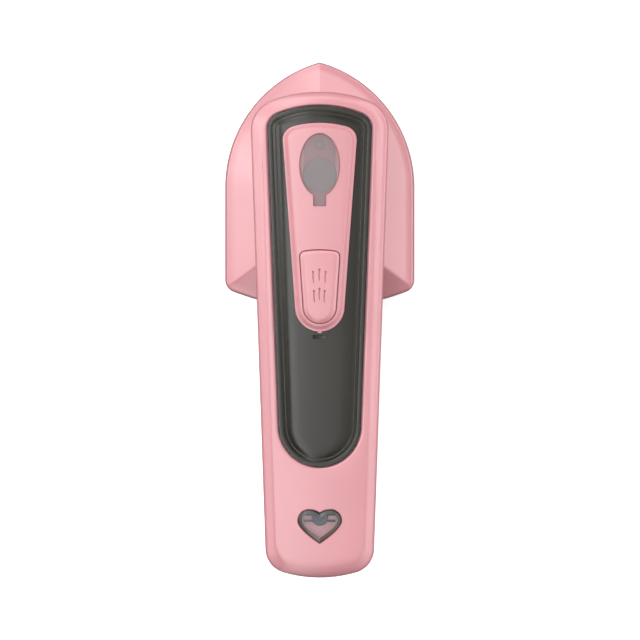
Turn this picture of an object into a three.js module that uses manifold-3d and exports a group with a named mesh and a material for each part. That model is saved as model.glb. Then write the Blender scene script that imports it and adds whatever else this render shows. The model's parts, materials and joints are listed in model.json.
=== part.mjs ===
// A hand-held garment steamer: an iron-shaped heated head under a flat handle that holds the water
// tank, and that turns half a turn on a hollow swivel. Millimetres, +Z up. The origin lies on the
// soleplate's face, on the swivel's axis; +Y points to the nose and the handle's tail lies along -Y.

import * as THREE from "three";
import { mergeVertices } from "three/addons/utils/BufferGeometryUtils.js";
import Module from "manifold-3d";

const wasm = await Module();
wasm.setup();

// ---------------------------------------------------------------- driving dimensions

const gap = 0.3; // between pieces that seat on or in each other
const wall = 2.0; // moulded shells

// Plan of the head: two shoulder arcs that meet in a nose, straight sides and a bowed rear edge.
const head = {
  halfWidth: 39.2,
  shoulderRadius: 53.8,
  shoulderY: 5.0,
  noseRadius: 1.5,
  rearY: -45.0,
  rearRadius: 99,
  cornerRadius: 5,
};
const soleplateThickness = 2.6;
const heatShieldHeight = 5.8;
const rimHeight = 3.2; // upright edge of the head cover
const roofInset = 16.4; // the sloped roof's width in plan
const roofHeight = 13.6;
const castingHeight = 9.1;
const castingInset = 7;
const grooveInset = 9; // heating tube's groove, measured in from the head's edge
const tubeRadius = 2.7;
const chamberInset = 22;
const chamberLip = 1.3; // the cover's edge beyond the chamber's
const postRadius = 2.7;
const rearPost = { x: 14.5, fromRear: 12.5 };

// Swivel
const hubRadius = 12;
const hubWall = 2.4;
const swivelRingRadius = 19;
const swivelRingHeight = 1.6;
const retainerLip = 3.4; // the retainer's edge beyond the hub
const retainerThickness = 1.1;
const hubBossInset = 4; // from the hub's outside to the centre of its screws
const hubBossRadius = 2.4;
const stopTabReach = 3.2;
const stopTabHalfWidth = 2;
const stopRibHalfWidth = 1.2;

// Plan of the handle: leaning sides between a broad arched front and a narrower arched tail.
const handleLength = 195.4;
const handleFrontY = 41.8;
const handleTailY = handleFrontY - handleLength;
const handle = {
  frontY: handleFrontY,
  frontArch: 57.6,
  frontCorner: 12.9,
  halfWidth: 27.7,
  refY: handleFrontY - 15.2,
  taper: 0.0345,
  rearY: handleTailY,
  rearArch: 52.4,
  rearCorner: 10,
};
const lowerShellHeight = 16.4;
const upperShellHeight = 13.4;
const tailRise = 5; // how far the underside climbs towards the tail

// Window of the tank, in the handle's top face
const frameWidthFront = 5.6;
const tailLength = 61.2; // from the tail to the centre of the window's round end
const tank = {
  frontY: handleFrontY - frameWidthFront,
  frontArch: 46.8,
  frontCorner: 6.8,
  halfWidth: 21.3,
  refY: handleFrontY - 15.2,
  taper: 0.0374,
  roundY: handleTailY + tailLength,
};
const ledgeWidth = 1.8;
const tankInset = 2.4; // the tank's side, measured in from the window's edge
const tankWall = 1.5;
const tankDepth = 12.6;
const lidFlangeHeight = 2.3;
const lidDomeHeight = 1.3; // above the flange

// Control panel on the tank's lid
const panelLength = 83.5;
const panel = {
  frontY: tank.frontY - 7.4,
  frontArch: 41.6,
  frontCorner: 5.6,
  halfWidth: 14.75,
  refY: tank.frontY - 15.0,
  taper: 0.0735,
};
const panelLipHeight = 1.0;
const panelHeight = 2.8;
const panelSlope = 1.9; // width of the steep side between the lip and the flat top

// Steam button
const buttonLength = 29.5;
const button = {
  frontArch: 40,
  frontCorner: 2.4,
  halfWidth: 8.25,
  taper: 0.07,
};
const buttonProud = 1.0;
const buttonTravel = 1.5;
const buttonFlange = 0.8;
const stemRadius = 2.4;
const stemBoreRadius = 3.0;
const springBoreRadius = 4.6;
const springWire = 0.25;
const springTurns = 5;
const springSeatDepth = 4.4; // below the tank's rim
const markDepth = 0.25;

// Filler plug, a flap hinged near its front end
const flap = { halfWidth: 8.0, halfLength: 12.5, thickness: 1.3, tabHalfWidth: 2.4, tabReach: 3.8 };
const flapFromPanelFront = 16.9; // panel's front to the centre of the oval
const flapHingeFromCentre = 4.1;
const fillerRadius = 5.4;
const fillerFromHinge = 8.1;
const plugDepth = 3.8;

// Heart-shaped indicator near the tail
const heartWidth = 17.8;
const heartTopFromTail = 27.8;
const heartPocketDepth = 3.0;
const lensProud = 0.3;
const ledRadius = 2.5;

// Power inlet in the tail
const cordBoreRadius = 3.4;
const glandRadius = 4.7;
const glandFlange = 0.9;
const glandDrop = 1.2; // centre below the shells' parting line

// Screws: head radius, head height, shank radius
const bigScrew = { headRadius: 2.4, headHeight: 1.6, shankRadius: 1.2 };
const smallScrew = { headRadius: 1.9, headHeight: 1.3, shankRadius: 0.95 };
const bossRadius = 2.7;

// ---------------------------------------------------------------- heights that follow

const castingZ = soleplateThickness + gap;
const castingTopZ = castingZ + castingHeight;
const coverZ = castingZ + heatShieldHeight + gap;
const roofZ = coverZ + rimHeight;
const plateauZ = roofZ + roofHeight;
const plateauUnderZ = plateauZ - wall;
const ringZ = plateauZ + gap;
const handleZ = ringZ + swivelRingHeight + gap;
const partingZ = handleZ + lowerShellHeight;
const upperZ = partingZ + gap;
const handleTopZ = upperZ + upperShellHeight;
const lidZ = handleTopZ - 1.2 - lidFlangeHeight;
const lidFlangeTopZ = lidZ + lidFlangeHeight;
const lidTopZ = lidFlangeTopZ + lidDomeHeight;
const ledgeTopZ = lidZ - 0.2;
const tankTopZ = lidZ - gap;
const tankFloorZ = tankTopZ - tankDepth;
const panelZ = lidTopZ + gap;
const panelTopZ = panelZ + panelHeight;
const flapUnderZ = panelTopZ - flap.thickness;
const pocketFloorZ = lidTopZ - 1.7; // the well in the lid that the button's flange sinks into
const flangeZ = pocketFloorZ + buttonTravel + gap;
const collarZ = plateauUnderZ - 2.4;
const retainerZ = collarZ - 2.6;
const boardZ = tankFloorZ - 7;
const switchZ = boardZ + 1.5;

const retainerRadius = hubRadius + retainerLip;
const retainerScrewCircle = hubRadius - hubBossInset;

// ---------------------------------------------------------------- materials

function finish(color, roughness, metalness = 0) {
  return new THREE.MeshStandardMaterial({ color, roughness, metalness });
}
const pink = finish(0xeab0b8, 0.38);
const smoked = new THREE.MeshStandardMaterial({
  color: 0x4a4a47,
  roughness: 0.12,
  transparent: true,
  opacity: 0.8,
});
const silicone = finish(0x9c8d8e, 0.45);
const clearLens = new THREE.MeshStandardMaterial({
  color: 0xc9cfd0,
  roughness: 0.08,
  transparent: true,
  opacity: 0.5,
});
const darkPlastic = finish(0x3a3a3c, 0.5);
const whitePlastic = finish(0xe8e6e0, 0.5);
const coatedPlate = finish(0xb9b6b2, 0.35, 0.6);
const castAluminium = finish(0xa9abae, 0.45, 0.9);
const steel = finish(0xc0c2c5, 0.3, 1);
const rubber = finish(0x2c2c2e, 0.7);
const redSilicone = finish(0xa8493c, 0.6);
const board = finish(0x2f6b45, 0.6);
const ledBlue = finish(0x5a6478, 0.3);

// ---------------------------------------------------------------- solids

// A closed geometry as a manifold-3d solid.
function solid(geometry) {
  const bare = geometry.clone();
  bare.deleteAttribute("normal");
  bare.deleteAttribute("uv");
  const merged = mergeVertices(bare, 1e-4);
  return new wasm.Manifold(
    new wasm.Mesh({
      numProp: 3,
      vertProperties: merged.attributes.position.array,
      triVerts: merged.index.array,
    }),
  );
}

// The first solid with the others joined on, or cut away.
function join(first, ...others) {
  return others.reduce((sum, other) => sum.add(other), first);
}
function cut(first, ...others) {
  return others.reduce((rest, other) => rest.subtract(other), first);
}

function geometryOf(manifold) {
  const { vertProperties, triVerts } = manifold.getMesh();
  const geometry = new THREE.BufferGeometry();
  geometry.setAttribute("position", new THREE.BufferAttribute(vertProperties, 3));
  geometry.setIndex(new THREE.BufferAttribute(triVerts, 1));
  return geometry;
}

// An upright cylinder from z0 to z1.
function post(x, y, radius, z0, z1, sides = 16) {
  return solid(
    new THREE.CylinderGeometry(radius, radius, z1 - z0, sides)
      .rotateX(Math.PI / 2)
      .translate(x, y, (z0 + z1) / 2),
  );
}

// A cylinder along X or Y, from one end to the other.
function bar(axis, from, to, a, b, radius, sides = 12) {
  const shape = new THREE.CylinderGeometry(radius, radius, to - from, sides);
  const middle = (from + to) / 2;
  return axis === "x"
    ? solid(shape.rotateZ(Math.PI / 2).translate(middle, a, b))
    : solid(shape.translate(a, middle, b));
}

function block(x0, x1, y0, y1, z0, z1) {
  return solid(
    new THREE.BoxGeometry(x1 - x0, y1 - y0, z1 - z0).translate(
      (x0 + x1) / 2,
      (y0 + y1) / 2,
      (z0 + z1) / 2,
    ),
  );
}

// A turned piece about an upright axis; the profile's points are [radius, z].
function turned(profile, sides = 24, x = 0, y = 0) {
  const points = profile.map(([radius, z]) => new THREE.Vector2(radius, z));
  return solid(new THREE.LatheGeometry(points, sides).rotateX(Math.PI / 2).translate(x, y, 0));
}

function ring(outer, inner, z0, z1, sides = 24) {
  return turned([[inner, z0], [outer, z0], [outer, z1], [inner, z1], [inner, z0]], sides);
}

// ---------------------------------------------------------------- outlines

function arc(cx, cy, radius, from, to, steps) {
  const points = [];
  for (let i = 0; i <= steps; i++) {
    const angle = from + ((to - from) * i) / steps;
    points.push([cx + radius * Math.cos(angle), cy + radius * Math.sin(angle)]);
  }
  return points;
}

// The points strictly between two others, evenly spaced.
function between([x0, y0], [x1, y1], count) {
  return Array.from({ length: count }, (_, i) => {
    const t = (i + 1) / (count + 1);
    return [x0 + (x1 - x0) * t, y0 + (y1 - y0) * t];
  });
}

// Each half outline below runs down the +X side, from the front point to the rear point of the
// centre line, drawn in by an inset.

function noseTip(inset) {
  const { halfWidth, shoulderRadius, shoulderY, noseRadius } = head;
  const reach = shoulderRadius - inset - noseRadius;
  return shoulderY + Math.sqrt(reach ** 2 - (shoulderRadius - halfWidth) ** 2) + noseRadius;
}

function headHalf(inset) {
  const { halfWidth, shoulderRadius, shoulderY, noseRadius, rearY, rearRadius, cornerRadius } = head;
  const offCentre = shoulderRadius - halfWidth;
  const noseY = noseTip(inset) - noseRadius;
  const noseAngle = Math.atan2(noseY - shoulderY, offCentre);
  const rearCentreY = rearY + rearRadius;
  const cornerX = halfWidth - inset - cornerRadius;
  const reach = rearRadius - inset - cornerRadius;
  const cornerY = rearCentreY - Math.sqrt(reach ** 2 - cornerX ** 2);
  const cornerAngle = Math.atan2(cornerY - rearCentreY, cornerX);
  return [
    ...arc(0, noseY, noseRadius, Math.PI / 2, noseAngle, 1),
    ...arc(-offCentre, shoulderY, shoulderRadius - inset, noseAngle, 0, 9).slice(1),
    ...arc(cornerX, cornerY, cornerRadius, 0, cornerAngle, 3),
    ...arc(0, rearCentreY, rearRadius - inset, cornerAngle, -Math.PI / 2, 3).slice(1),
  ];
}

// A slot with leaning sides and an arched front; its rear is round where roundY is given, else arched.
function slotHalf(slot, inset, sideSteps = 0) {
  const slant = Math.hypot(1, slot.taper);
  const lean = Math.atan(slot.taper);
  const sideAt = (y) => slot.halfWidth + slot.taper * (y - slot.refY) - inset * slant;
  // Centre of a corner that touches the side and the arch about (0, archY); end is 1 front, -1 rear.
  const cornerAt = (archY, archRadius, radius, end) => {
    const base = sideAt(0) - radius * slant;
    const b = base * slot.taper - archY;
    const c = base ** 2 + archY ** 2 - (archRadius - radius) ** 2;
    const y = (-b + end * Math.sqrt(b * b - slant * slant * c)) / (slant * slant);
    return [base + slot.taper * y, y];
  };
  const frontRadius = Math.max(slot.frontCorner - inset, 0.6);
  const frontArchY = slot.frontY - slot.frontArch;
  const [fx, fy] = cornerAt(frontArchY, slot.frontArch - inset, frontRadius, 1);
  const frontAngle = Math.atan2(fy - frontArchY, fx);
  const front = [
    ...arc(0, frontArchY, slot.frontArch - inset, Math.PI / 2, frontAngle, 3),
    ...arc(fx, fy, frontRadius, frontAngle, -lean, 4).slice(1),
  ];
  let rear;
  if (slot.roundY === undefined) {
    const rearRadius = Math.max(slot.rearCorner - inset, 0.6);
    const rearArchY = slot.rearY + slot.rearArch;
    const [rx, ry] = cornerAt(rearArchY, slot.rearArch - inset, rearRadius, -1);
    const rearAngle = Math.atan2(ry - rearArchY, rx);
    rear = [
      ...arc(rx, ry, rearRadius, -lean, rearAngle, 4),
      ...arc(0, rearArchY, slot.rearArch - inset, rearAngle, -Math.PI / 2, 3).slice(1),
    ];
  } else {
    const round = sideAt(slot.roundY) / slant;
    rear = arc(0, slot.roundY, round, -lean, -Math.PI / 2, 7);
  }
  return [...front, ...between(front.at(-1), rear[0], sideSteps), ...rear];
}

const handleHalf = (inset) => slotHalf(handle, inset);
const keeledHalf = (inset) => slotHalf(handle, inset, 5);
const tankHalf = (inset) => slotHalf(tank, inset);
const panelRoundY = panel.frontY - panelLength + 9.9;
const panelHalf = (inset) => slotHalf({ ...panel, roundY: panelRoundY }, inset);
const buttonFrontY = panelRoundY + buttonLength - 6.6;
const buttonHalf = (inset) =>
  slotHalf(
    { ...button, frontY: buttonFrontY, refY: buttonFrontY - 2.9, roundY: panelRoundY },
    inset,
  );

// The whole outline from its half, anticlockwise seen from above: front, left side, rear, right side.
function whole(half) {
  const left = half.slice(1, -1).map(([x, y]) => [-x, y]);
  return [half[0], ...left, half.at(-1), ...half.slice(1, -1).reverse()];
}

// A solid through outlines stacked upwards. Sections are [inset, z]; warp may lift a point by its y.
function loft(halfOf, sections, warp = (y, z) => z) {
  const rings = sections.map(([inset, z]) =>
    whole(halfOf(inset)).map(([x, y]) => [x, y, warp(y, z)]),
  );
  const count = rings[0].length;
  const middle = count / 2;
  const top = (rings.length - 1) * count;
  const faces = [];
  for (let level = 0; level < rings.length - 1; level++) {
    for (let i = 0; i < count; i++) {
      const a = level * count + i;
      const b = level * count + ((i + 1) % count);
      faces.push(a, b, b + count, a, b + count, a + count);
    }
  }
  for (let i = 0; i < middle; i++) {
    const [left, nextLeft] = [i, i + 1];
    const [right, nextRight] = [(count - i) % count, count - i - 1];
    if (i > 0) faces.push(left, right, nextLeft, top + left, top + nextLeft, top + right);
    if (i < middle - 1) {
      faces.push(nextLeft, right, nextRight);
      faces.push(top + nextLeft, top + nextRight, top + right);
    }
  }
  const geometry = new THREE.BufferGeometry();
  geometry.setAttribute("position", new THREE.Float32BufferAttribute(rings.flat(2), 3));
  geometry.setIndex(faces);
  return solid(geometry);
}

// ---------------------------------------------------------------- the tree of named pieces

const steamer = new THREE.Group();
const headGroup = new THREE.Group();
const handleGroup = new THREE.Group();
steamer.add(headGroup, handleGroup);

function place(group, name, material, manifold) {
  const mesh = new THREE.Mesh(geometryOf(manifold), material);
  mesh.name = name;
  group.add(mesh);
}

// A pan-head screw on an upright axis, its head's outer face at z; up is 1 where the shank points up.
function screw(group, name, size, x, y, z, length, up) {
  const shoulder = size.headHeight;
  const profile = [
    [0, 0],
    [size.headRadius, 0],
    [size.headRadius, shoulder],
    [size.shankRadius, shoulder],
    [size.shankRadius, length],
    [0, length],
  ].map(([radius, height]) => [radius, z + up * height]);
  place(group, name, steel, turned(up > 0 ? profile : profile.reverse(), 12, x, y));
}

// ---------------------------------------------------------------- head: soleplate and heater

const chamberEdge = chamberInset - chamberLip;
const headPosts = [
  ["front", 0, noseTip(chamberEdge) + postRadius + 3 * gap],
  ["left", -rearPost.x, head.rearY + rearPost.fromRear],
  ["right", rearPost.x, head.rearY + rearPost.fromRear],
];

// Points on the head's plan a given inset from its edge: along the shoulder arcs, then the sides.
function alongEdge(inset, degrees, sideYs) {
  const offCentre = head.shoulderRadius - head.halfWidth;
  const radius = head.shoulderRadius - inset;
  const right = [
    ...degrees.map((degree) => {
      const angle = THREE.MathUtils.degToRad(degree);
      return [radius * Math.cos(angle) - offCentre, head.shoulderY + radius * Math.sin(angle)];
    }),
    ...sideYs.map((y) => [head.halfWidth - inset, y]),
  ];
  return right.flatMap(([x, y]) => [[x, y], [-x, y]]);
}

const steamHoleRadius = 1.2;
const galleryInset = 16.2;
const galleryWidth = 8.2;
const steamHoles = alongEdge(galleryInset + 3, [55, 40, 25, 10], [-6, -18]);
const chamberHoles = [[0, head.shoulderY + 18], [8, head.shoulderY + 8], [-8, head.shoulderY + 8]];

function soleplate() {
  const plate = loft(headHalf, [[3.4, 0], [2.4, 0.5], [1.9, 1.4], [1.9, soleplateThickness]]);
  const holes = [...steamHoles, ...chamberHoles].map(([x, y]) =>
    post(x, y, steamHoleRadius, -1, soleplateThickness + 1, 10),
  );
  return cut(plate, ...holes);
}

const galleryTopZ = castingZ + 1.3;
const chamberFloorZ = castingZ + 3.2;
const screwSeatZ = castingZ + 3.4;

function heaterCasting() {
  const over = castingTopZ + 1;
  const grooveFloorZ = castingTopZ - 2 * tubeRadius - 2 * gap;
  const groove = cut(
    loft(headHalf, [[grooveInset, grooveFloorZ], [grooveInset, over]]),
    loft(headHalf, [
      [grooveInset + 2 * (tubeRadius + gap), grooveFloorZ - 1],
      [grooveInset + 2 * (tubeRadius + gap), over + 1],
    ]),
    block(-60, 60, head.rearY - 1, head.rearY + galleryInset, 0, over + 2),
  );
  const gallery = cut(
    loft(headHalf, [[galleryInset, castingZ - 1], [galleryInset, galleryTopZ]]),
    loft(headHalf, [
      [galleryInset + galleryWidth, castingZ - 2],
      [galleryInset + galleryWidth, galleryTopZ + 1],
    ]),
  );
  const risers = alongEdge(chamberInset + 1.2, [20, 45], [-10]);
  return cut(
    loft(headHalf, [
      [castingInset + 0.5, castingZ],
      [castingInset, castingZ + 0.6],
      [castingInset, castingTopZ - 0.6],
      [castingInset + 0.5, castingTopZ],
    ]),
    groove,
    gallery,
    loft(headHalf, [[chamberInset, chamberFloorZ], [chamberInset, over]]),
    ...[...risers, ...chamberHoles].map(([x, y]) => post(x, y, 0.9, castingZ - 1, over, 8)),
    ...headPosts.map(([, x, y]) => post(x, y, bigScrew.headRadius + 0.5, castingZ - 1, screwSeatZ, 12)),
    ...headPosts.map(([, x, y]) => post(x, y, bigScrew.shankRadius + gap, castingZ, over, 10)),
  );
}

// A sheathed tube bent to a U inside its groove, with both ends standing up at the rear.
function heatingElement() {
  const inset = grooveInset + tubeRadius + gap;
  const z = castingTopZ - tubeRadius - gap;
  const side = head.halfWidth - inset;
  const endY = head.rearY + galleryInset + tubeRadius + 1.5;
  const front = headHalf(inset)
    .slice(0, -7)
    .map(([x, y]) => new THREE.Vector3(x, y, z));
  const right = [
    ...front,
    new THREE.Vector3(side, -6, z),
    new THREE.Vector3(side, endY + 6, z),
    new THREE.Vector3(side, endY + 1.5, z + 1.2),
    new THREE.Vector3(side, endY, z + 3.6),
    new THREE.Vector3(side, endY, z + 6),
  ];
  const left = right
    .slice(1)
    .reverse()
    .map(({ x, y, z: height }) => new THREE.Vector3(-x, y, height));
  const path = new THREE.CatmullRomCurve3([...left, ...right], false, "centripetal");
  return solid(new THREE.ExtrudeGeometry(disc(tubeRadius, 8), { steps: 44, extrudePath: path }));
}

// A round section with the given number of sides, for a tube along a curve.
function disc(radius, sides) {
  return new THREE.Shape(
    Array.from({ length: sides }, (_, i) => {
      const angle = (2 * Math.PI * i) / sides;
      return new THREE.Vector2(radius * Math.cos(angle), radius * Math.sin(angle));
    }),
  );
}

const gasketHeight = 0.8;
const coverPlateZ = castingTopZ + 0.1 + gasketHeight + 0.1;
const coverPlateTopZ = coverPlateZ + 1.5;
const nozzleTopZ = retainerZ + 1.4;

function chamberGasket() {
  const z = castingTopZ + 0.1;
  return cut(
    loft(headHalf, [[chamberEdge, z], [chamberEdge, z + gasketHeight]]),
    loft(headHalf, [[chamberInset + 0.2, z - 1], [chamberInset + 0.2, z + gasketHeight + 1]]),
  );
}

function chamberCover() {
  return cut(
    join(
      loft(headHalf, [[chamberEdge, coverPlateZ], [chamberEdge, coverPlateTopZ]]),
      post(0, 0, 1.9, coverPlateZ, nozzleTopZ, 12),
    ),
    post(0, 0, 0.9, coverPlateZ - 1, nozzleTopZ + 1, 8),
  );
}

function thermostat() {
  const radius = 5;
  const y = head.rearY + chamberEdge - radius - 2 * gap;
  const z = castingTopZ + 0.2;
  return join(
    turned([[0, z], [radius, z], [radius, z + 2.6], [radius - 1, z + 4], [0, z + 4]], 16, 0, y),
    block(-3.4, -2.6, y - 1.5, y + 1.5, z + 3.5, z + 6.5),
    block(2.6, 3.4, y - 1.5, y + 1.5, z + 3.5, z + 6.5),
  );
}

// It lies just outside the heads of the retainer's screws.
function thermalFuse() {
  const radius = 1.8;
  const x = retainerScrewCircle + smallScrew.headRadius + radius + gap;
  const z = coverPlateTopZ + radius + 0.2;
  return join(bar("y", -15, -5, x, z, radius), bar("y", -20, 0, x, z, 0.5, 6));
}

place(headGroup, "soleplate", coatedPlate, soleplate());
place(headGroup, "heater_casting", castAluminium, heaterCasting());
place(headGroup, "heating_element", steel, heatingElement());
place(headGroup, "chamber_gasket", redSilicone, chamberGasket());
place(headGroup, "steam_chamber_cover", castAluminium, chamberCover());
place(headGroup, "thermostat", steel, thermostat());
place(headGroup, "thermal_fuse", whitePlastic, thermalFuse());

// ---------------------------------------------------------------- head: shield, cover, swivel seat

const headScrewZ = screwSeatZ - bigScrew.headHeight - 0.1;
const headScrewTipZ = castingTopZ + 5;

function heatShield() {
  const top = castingZ + heatShieldHeight;
  return cut(
    loft(headHalf, [[1.7, castingZ], [1.0, castingZ + 0.7], [1.0, top]]),
    loft(headHalf, [[4.6, castingZ - 1], [4.6, top + 1]]),
  );
}

// The retainer's tab meets one rib at either end of its half turn.
function stopRib(side) {
  const radius = retainerRadius + stopTabReach / 2;
  const away = Math.asin((stopTabHalfWidth + stopRibHalfWidth + 2 * gap) / radius);
  const rib = new THREE.BoxGeometry(
    stopTabReach + 1,
    2 * stopRibHalfWidth,
    plateauUnderZ + 1 - retainerZ,
  ).translate(retainerRadius + 1 + stopTabReach / 2, 0, (plateauUnderZ + 1 + retainerZ) / 2);
  return solid(rib.rotateZ(side > 0 ? -away : Math.PI + away));
}

function headCover() {
  const outer = loft(headHalf, [
    [0.3, coverZ],
    [0, coverZ + 0.6],
    [0, roofZ - 1],
    [0.35, roofZ - 0.3],
    [1.0, roofZ + 0.3],
    [roofInset, plateauZ - 0.5],
    [roofInset + 1, plateauZ],
  ]);
  const shell = cut(
    outer,
    loft(headHalf, [
      [wall + 0.2, coverZ - 1],
      [wall + 0.2, roofZ - 1],
      [roofInset + 0.6, plateauUnderZ - 0.4],
      [roofInset + 1.2, plateauUnderZ],
    ]),
  );
  const solids = join(
    shell,
    post(0, 0, hubRadius + 3.2, collarZ, plateauUnderZ + 0.5, 24),
    stopRib(1),
    stopRib(-1),
    ...headPosts.map(([, x, y]) =>
      post(x, y, postRadius, castingTopZ + gap, plateauZ - 1, 12).intersect(outer),
    ),
  );
  return cut(
    solids,
    post(0, 0, hubRadius + gap, collarZ - 1, plateauZ + 1, 32),
    ...headPosts.map(([, x, y]) =>
      post(x, y, bigScrew.shankRadius + gap, castingTopZ, headScrewTipZ + 0.8, 10),
    ),
  );
}

place(headGroup, "heat_shield", darkPlastic, heatShield());
place(headGroup, "head_cover", pink, headCover());
const swivelRing = ring(swivelRingRadius, hubRadius + 0.5, ringZ, ringZ + swivelRingHeight, 32);
place(headGroup, "swivel_ring", darkPlastic, swivelRing);
const waveWasher = ring(hubRadius + 2.8, hubRadius + 0.7, collarZ - 1.1, collarZ - 0.4);
place(headGroup, "wave_washer", steel, waveWasher);
for (const [where, x, y] of headPosts) {
  screw(headGroup, "head_screw_" + where, bigScrew, x, y, headScrewZ, headScrewTipZ - headScrewZ, 1);
}

// ---------------------------------------------------------------- handle: swivel hub and shells

const hubBosses = [90, 210, 330].map((degree) => {
  const angle = THREE.MathUtils.degToRad(degree);
  return [retainerScrewCircle * Math.cos(angle), retainerScrewCircle * Math.sin(angle)];
});
const hubBottomZ = retainerZ + retainerThickness + gap;

function swivelRetainer() {
  const z1 = retainerZ + retainerThickness;
  return cut(
    join(
      post(0, 0, retainerRadius, retainerZ, z1, 24),
      block(
        retainerRadius - 1,
        retainerRadius + stopTabReach,
        -stopTabHalfWidth,
        stopTabHalfWidth,
        retainerZ,
        z1,
      ),
    ),
    post(0, 0, 5.6, retainerZ - 1, z1 + 1, 16),
    ...hubBosses.map(([x, y]) => post(x, y, smallScrew.shankRadius + gap, retainerZ - 1, z1 + 1, 10)),
  );
}

// The underside is flat over the swivel, then climbs smoothly towards the tail.
const keelStartY = -swivelRingRadius - 5;
function keel(y, z) {
  const t = THREE.MathUtils.smoothstep(keelStartY - y, 0, keelStartY - handleTailY);
  const depth = THREE.MathUtils.clamp((partingZ - z) / lowerShellHeight, 0, 1.2);
  return z + tailRise * t * depth;
}

const shellScrews = [
  ["front_left", -9, handleFrontY - 4.8, ledgeTopZ],
  ["front_right", 9, handleFrontY - 4.8, ledgeTopZ],
  ["rear_left", -15, handleTailY + 10.6, handleTopZ - wall + 0.5],
  ["rear_right", 15, handleTailY + 10.6, handleTopZ - wall + 0.5],
];
const screwRecessDepth = 5.2;
const floorAt = (y) => keel(y, handleZ); // the underside at a given y

const switchY = panelRoundY + 7.8;
const boardArea = { x0: -13, x1: 9, y0: switchY - 25, y1: switchY + 13 };
const standoffs = [
  [boardArea.x0 + 3, boardArea.y0 + 3],
  [boardArea.x1 - 3, boardArea.y0 + 3],
  [boardArea.x0 + 3, boardArea.y1 - 3],
];

const pumpY = tank.roundY - 27;
const pumpZ = tankFloorZ + 1.4;
const pumpRadius = 6;
const glandZ = partingZ - glandDrop;
const clampY = handleTailY + 12.6;
const clampX = 7.5;
const clampZ = glandZ + cordBoreRadius + gap;

const glandHole = bar("y", handleTailY - 5, handleTailY + 5, 0, glandZ, glandRadius + gap, 20);

function lowerShell() {
  const outer = loft(
    keeledHalf,
    [
      [9, handleZ],
      [5.4, handleZ + 0.7],
      [2.6, handleZ + 2.8],
      [1.0, handleZ + 6.2],
      [0.2, handleZ + 10.8],
      [0, partingZ],
    ],
    keel,
  );
  const hollow = loft(
    keeledHalf,
    [
      [10, handleZ + wall],
      [7, handleZ + wall + 0.5],
      [4.4, handleZ + wall + 2.6],
      [2.9, handleZ + wall + 5.6],
      [2.2, handleZ + wall + 9.4],
      [wall, partingZ + 1],
    ],
    keel,
  );
  const cradles = [-14, -2].map((x) =>
    cut(
      block(x, x + 2, pumpY - 4, pumpY + 4, floorAt(pumpY) + 1, pumpZ - 2),
      bar("x", x - 1, x + 3, pumpY, pumpZ, pumpRadius + gap, 16),
    ),
  );
  const inside = join(
    post(0, 0, hubRadius, hubBottomZ, handleZ + 1, 32),
    ...hubBosses.map(([x, y]) => post(x, y, hubBossRadius, hubBottomZ, handleZ + wall + 1, 10)),
    ...standoffs.map(([x, y]) => post(x, y, 2, floorAt(y) + 1, boardZ - gap, 8)),
    ...[-clampX, clampX].map((x) => post(x, clampY, 2.5, floorAt(clampY) + 1, clampZ - 0.2, 10)),
    ...cradles,
  );
  // Each screw boss stands inside the shell and follows its curved skirt.
  const bosses = shellScrews.map(([, x, y]) =>
    post(x, y, bossRadius + 0.6, floorAt(y) + 0.5, partingZ, 12).intersect(outer),
  );
  const passage = cut(
    post(0, 0, hubRadius - hubWall, hubBottomZ - 1, handleZ + wall + 2, 24),
    ...hubBosses.map(([x, y]) => post(x, y, hubBossRadius, hubBottomZ - 2, handleZ + wall + 3, 10)),
  );
  return cut(
    join(cut(outer, hollow), ...bosses, inside),
    passage,
    glandHole,
    ...hubBosses.map(([x, y]) => post(x, y, smallScrew.shankRadius + gap, hubBottomZ - 1, handleZ, 10)),
    ...shellScrews.map(([, x, y]) =>
      post(x, y, bigScrew.headRadius + 0.5, handleZ - 2, floorAt(y) + screwRecessDepth, 12),
    ),
    ...shellScrews.map(([, x, y]) => post(x, y, bigScrew.shankRadius + gap, handleZ, partingZ + 1, 10)),
    ...[-clampX, clampX].map((x) =>
      post(x, clampY, smallScrew.shankRadius + gap, clampZ - 7, clampZ + 1, 10),
    ),
  );
}

// Half of a heart, from the notch down the +X side to the point, about 12 mm lower.
const heartScale = heartWidth / 17.8;
const heartNotchY = handleTailY + heartTopFromTail - 1.4;
function heartHalf(scale) {
  const path = new THREE.Path();
  path.moveTo(0, 0);
  path.bezierCurveTo(1.2, 0.9, 2.8, 1.4, 4.4, 1.4);
  path.bezierCurveTo(7.0, 1.4, 8.9, -0.6, 8.9, -3.0);
  path.bezierCurveTo(8.9, -6.0, 4.2, -9.4, 0, -12.3);
  const centreY = -4.6;
  return path.getPoints(4).map(({ x, y }) => [
    x * scale * heartScale,
    heartNotchY + heartScale * (centreY + (y - centreY) * scale),
  ]);
}

function heart(sections) {
  return join(
    ...sections.map(([scale, z0, z1]) => {
      const shape = new THREE.Shape(whole(heartHalf(scale)).map((point) => new THREE.Vector2(...point)));
      return solid(
        new THREE.ExtrudeGeometry(shape, { depth: z1 - z0, bevelEnabled: false }).translate(0, 0, z0),
      );
    }),
  );
}

const heartFloorZ = handleTopZ - heartPocketDepth;
const ledY = heartNotchY - 1.9;

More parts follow.
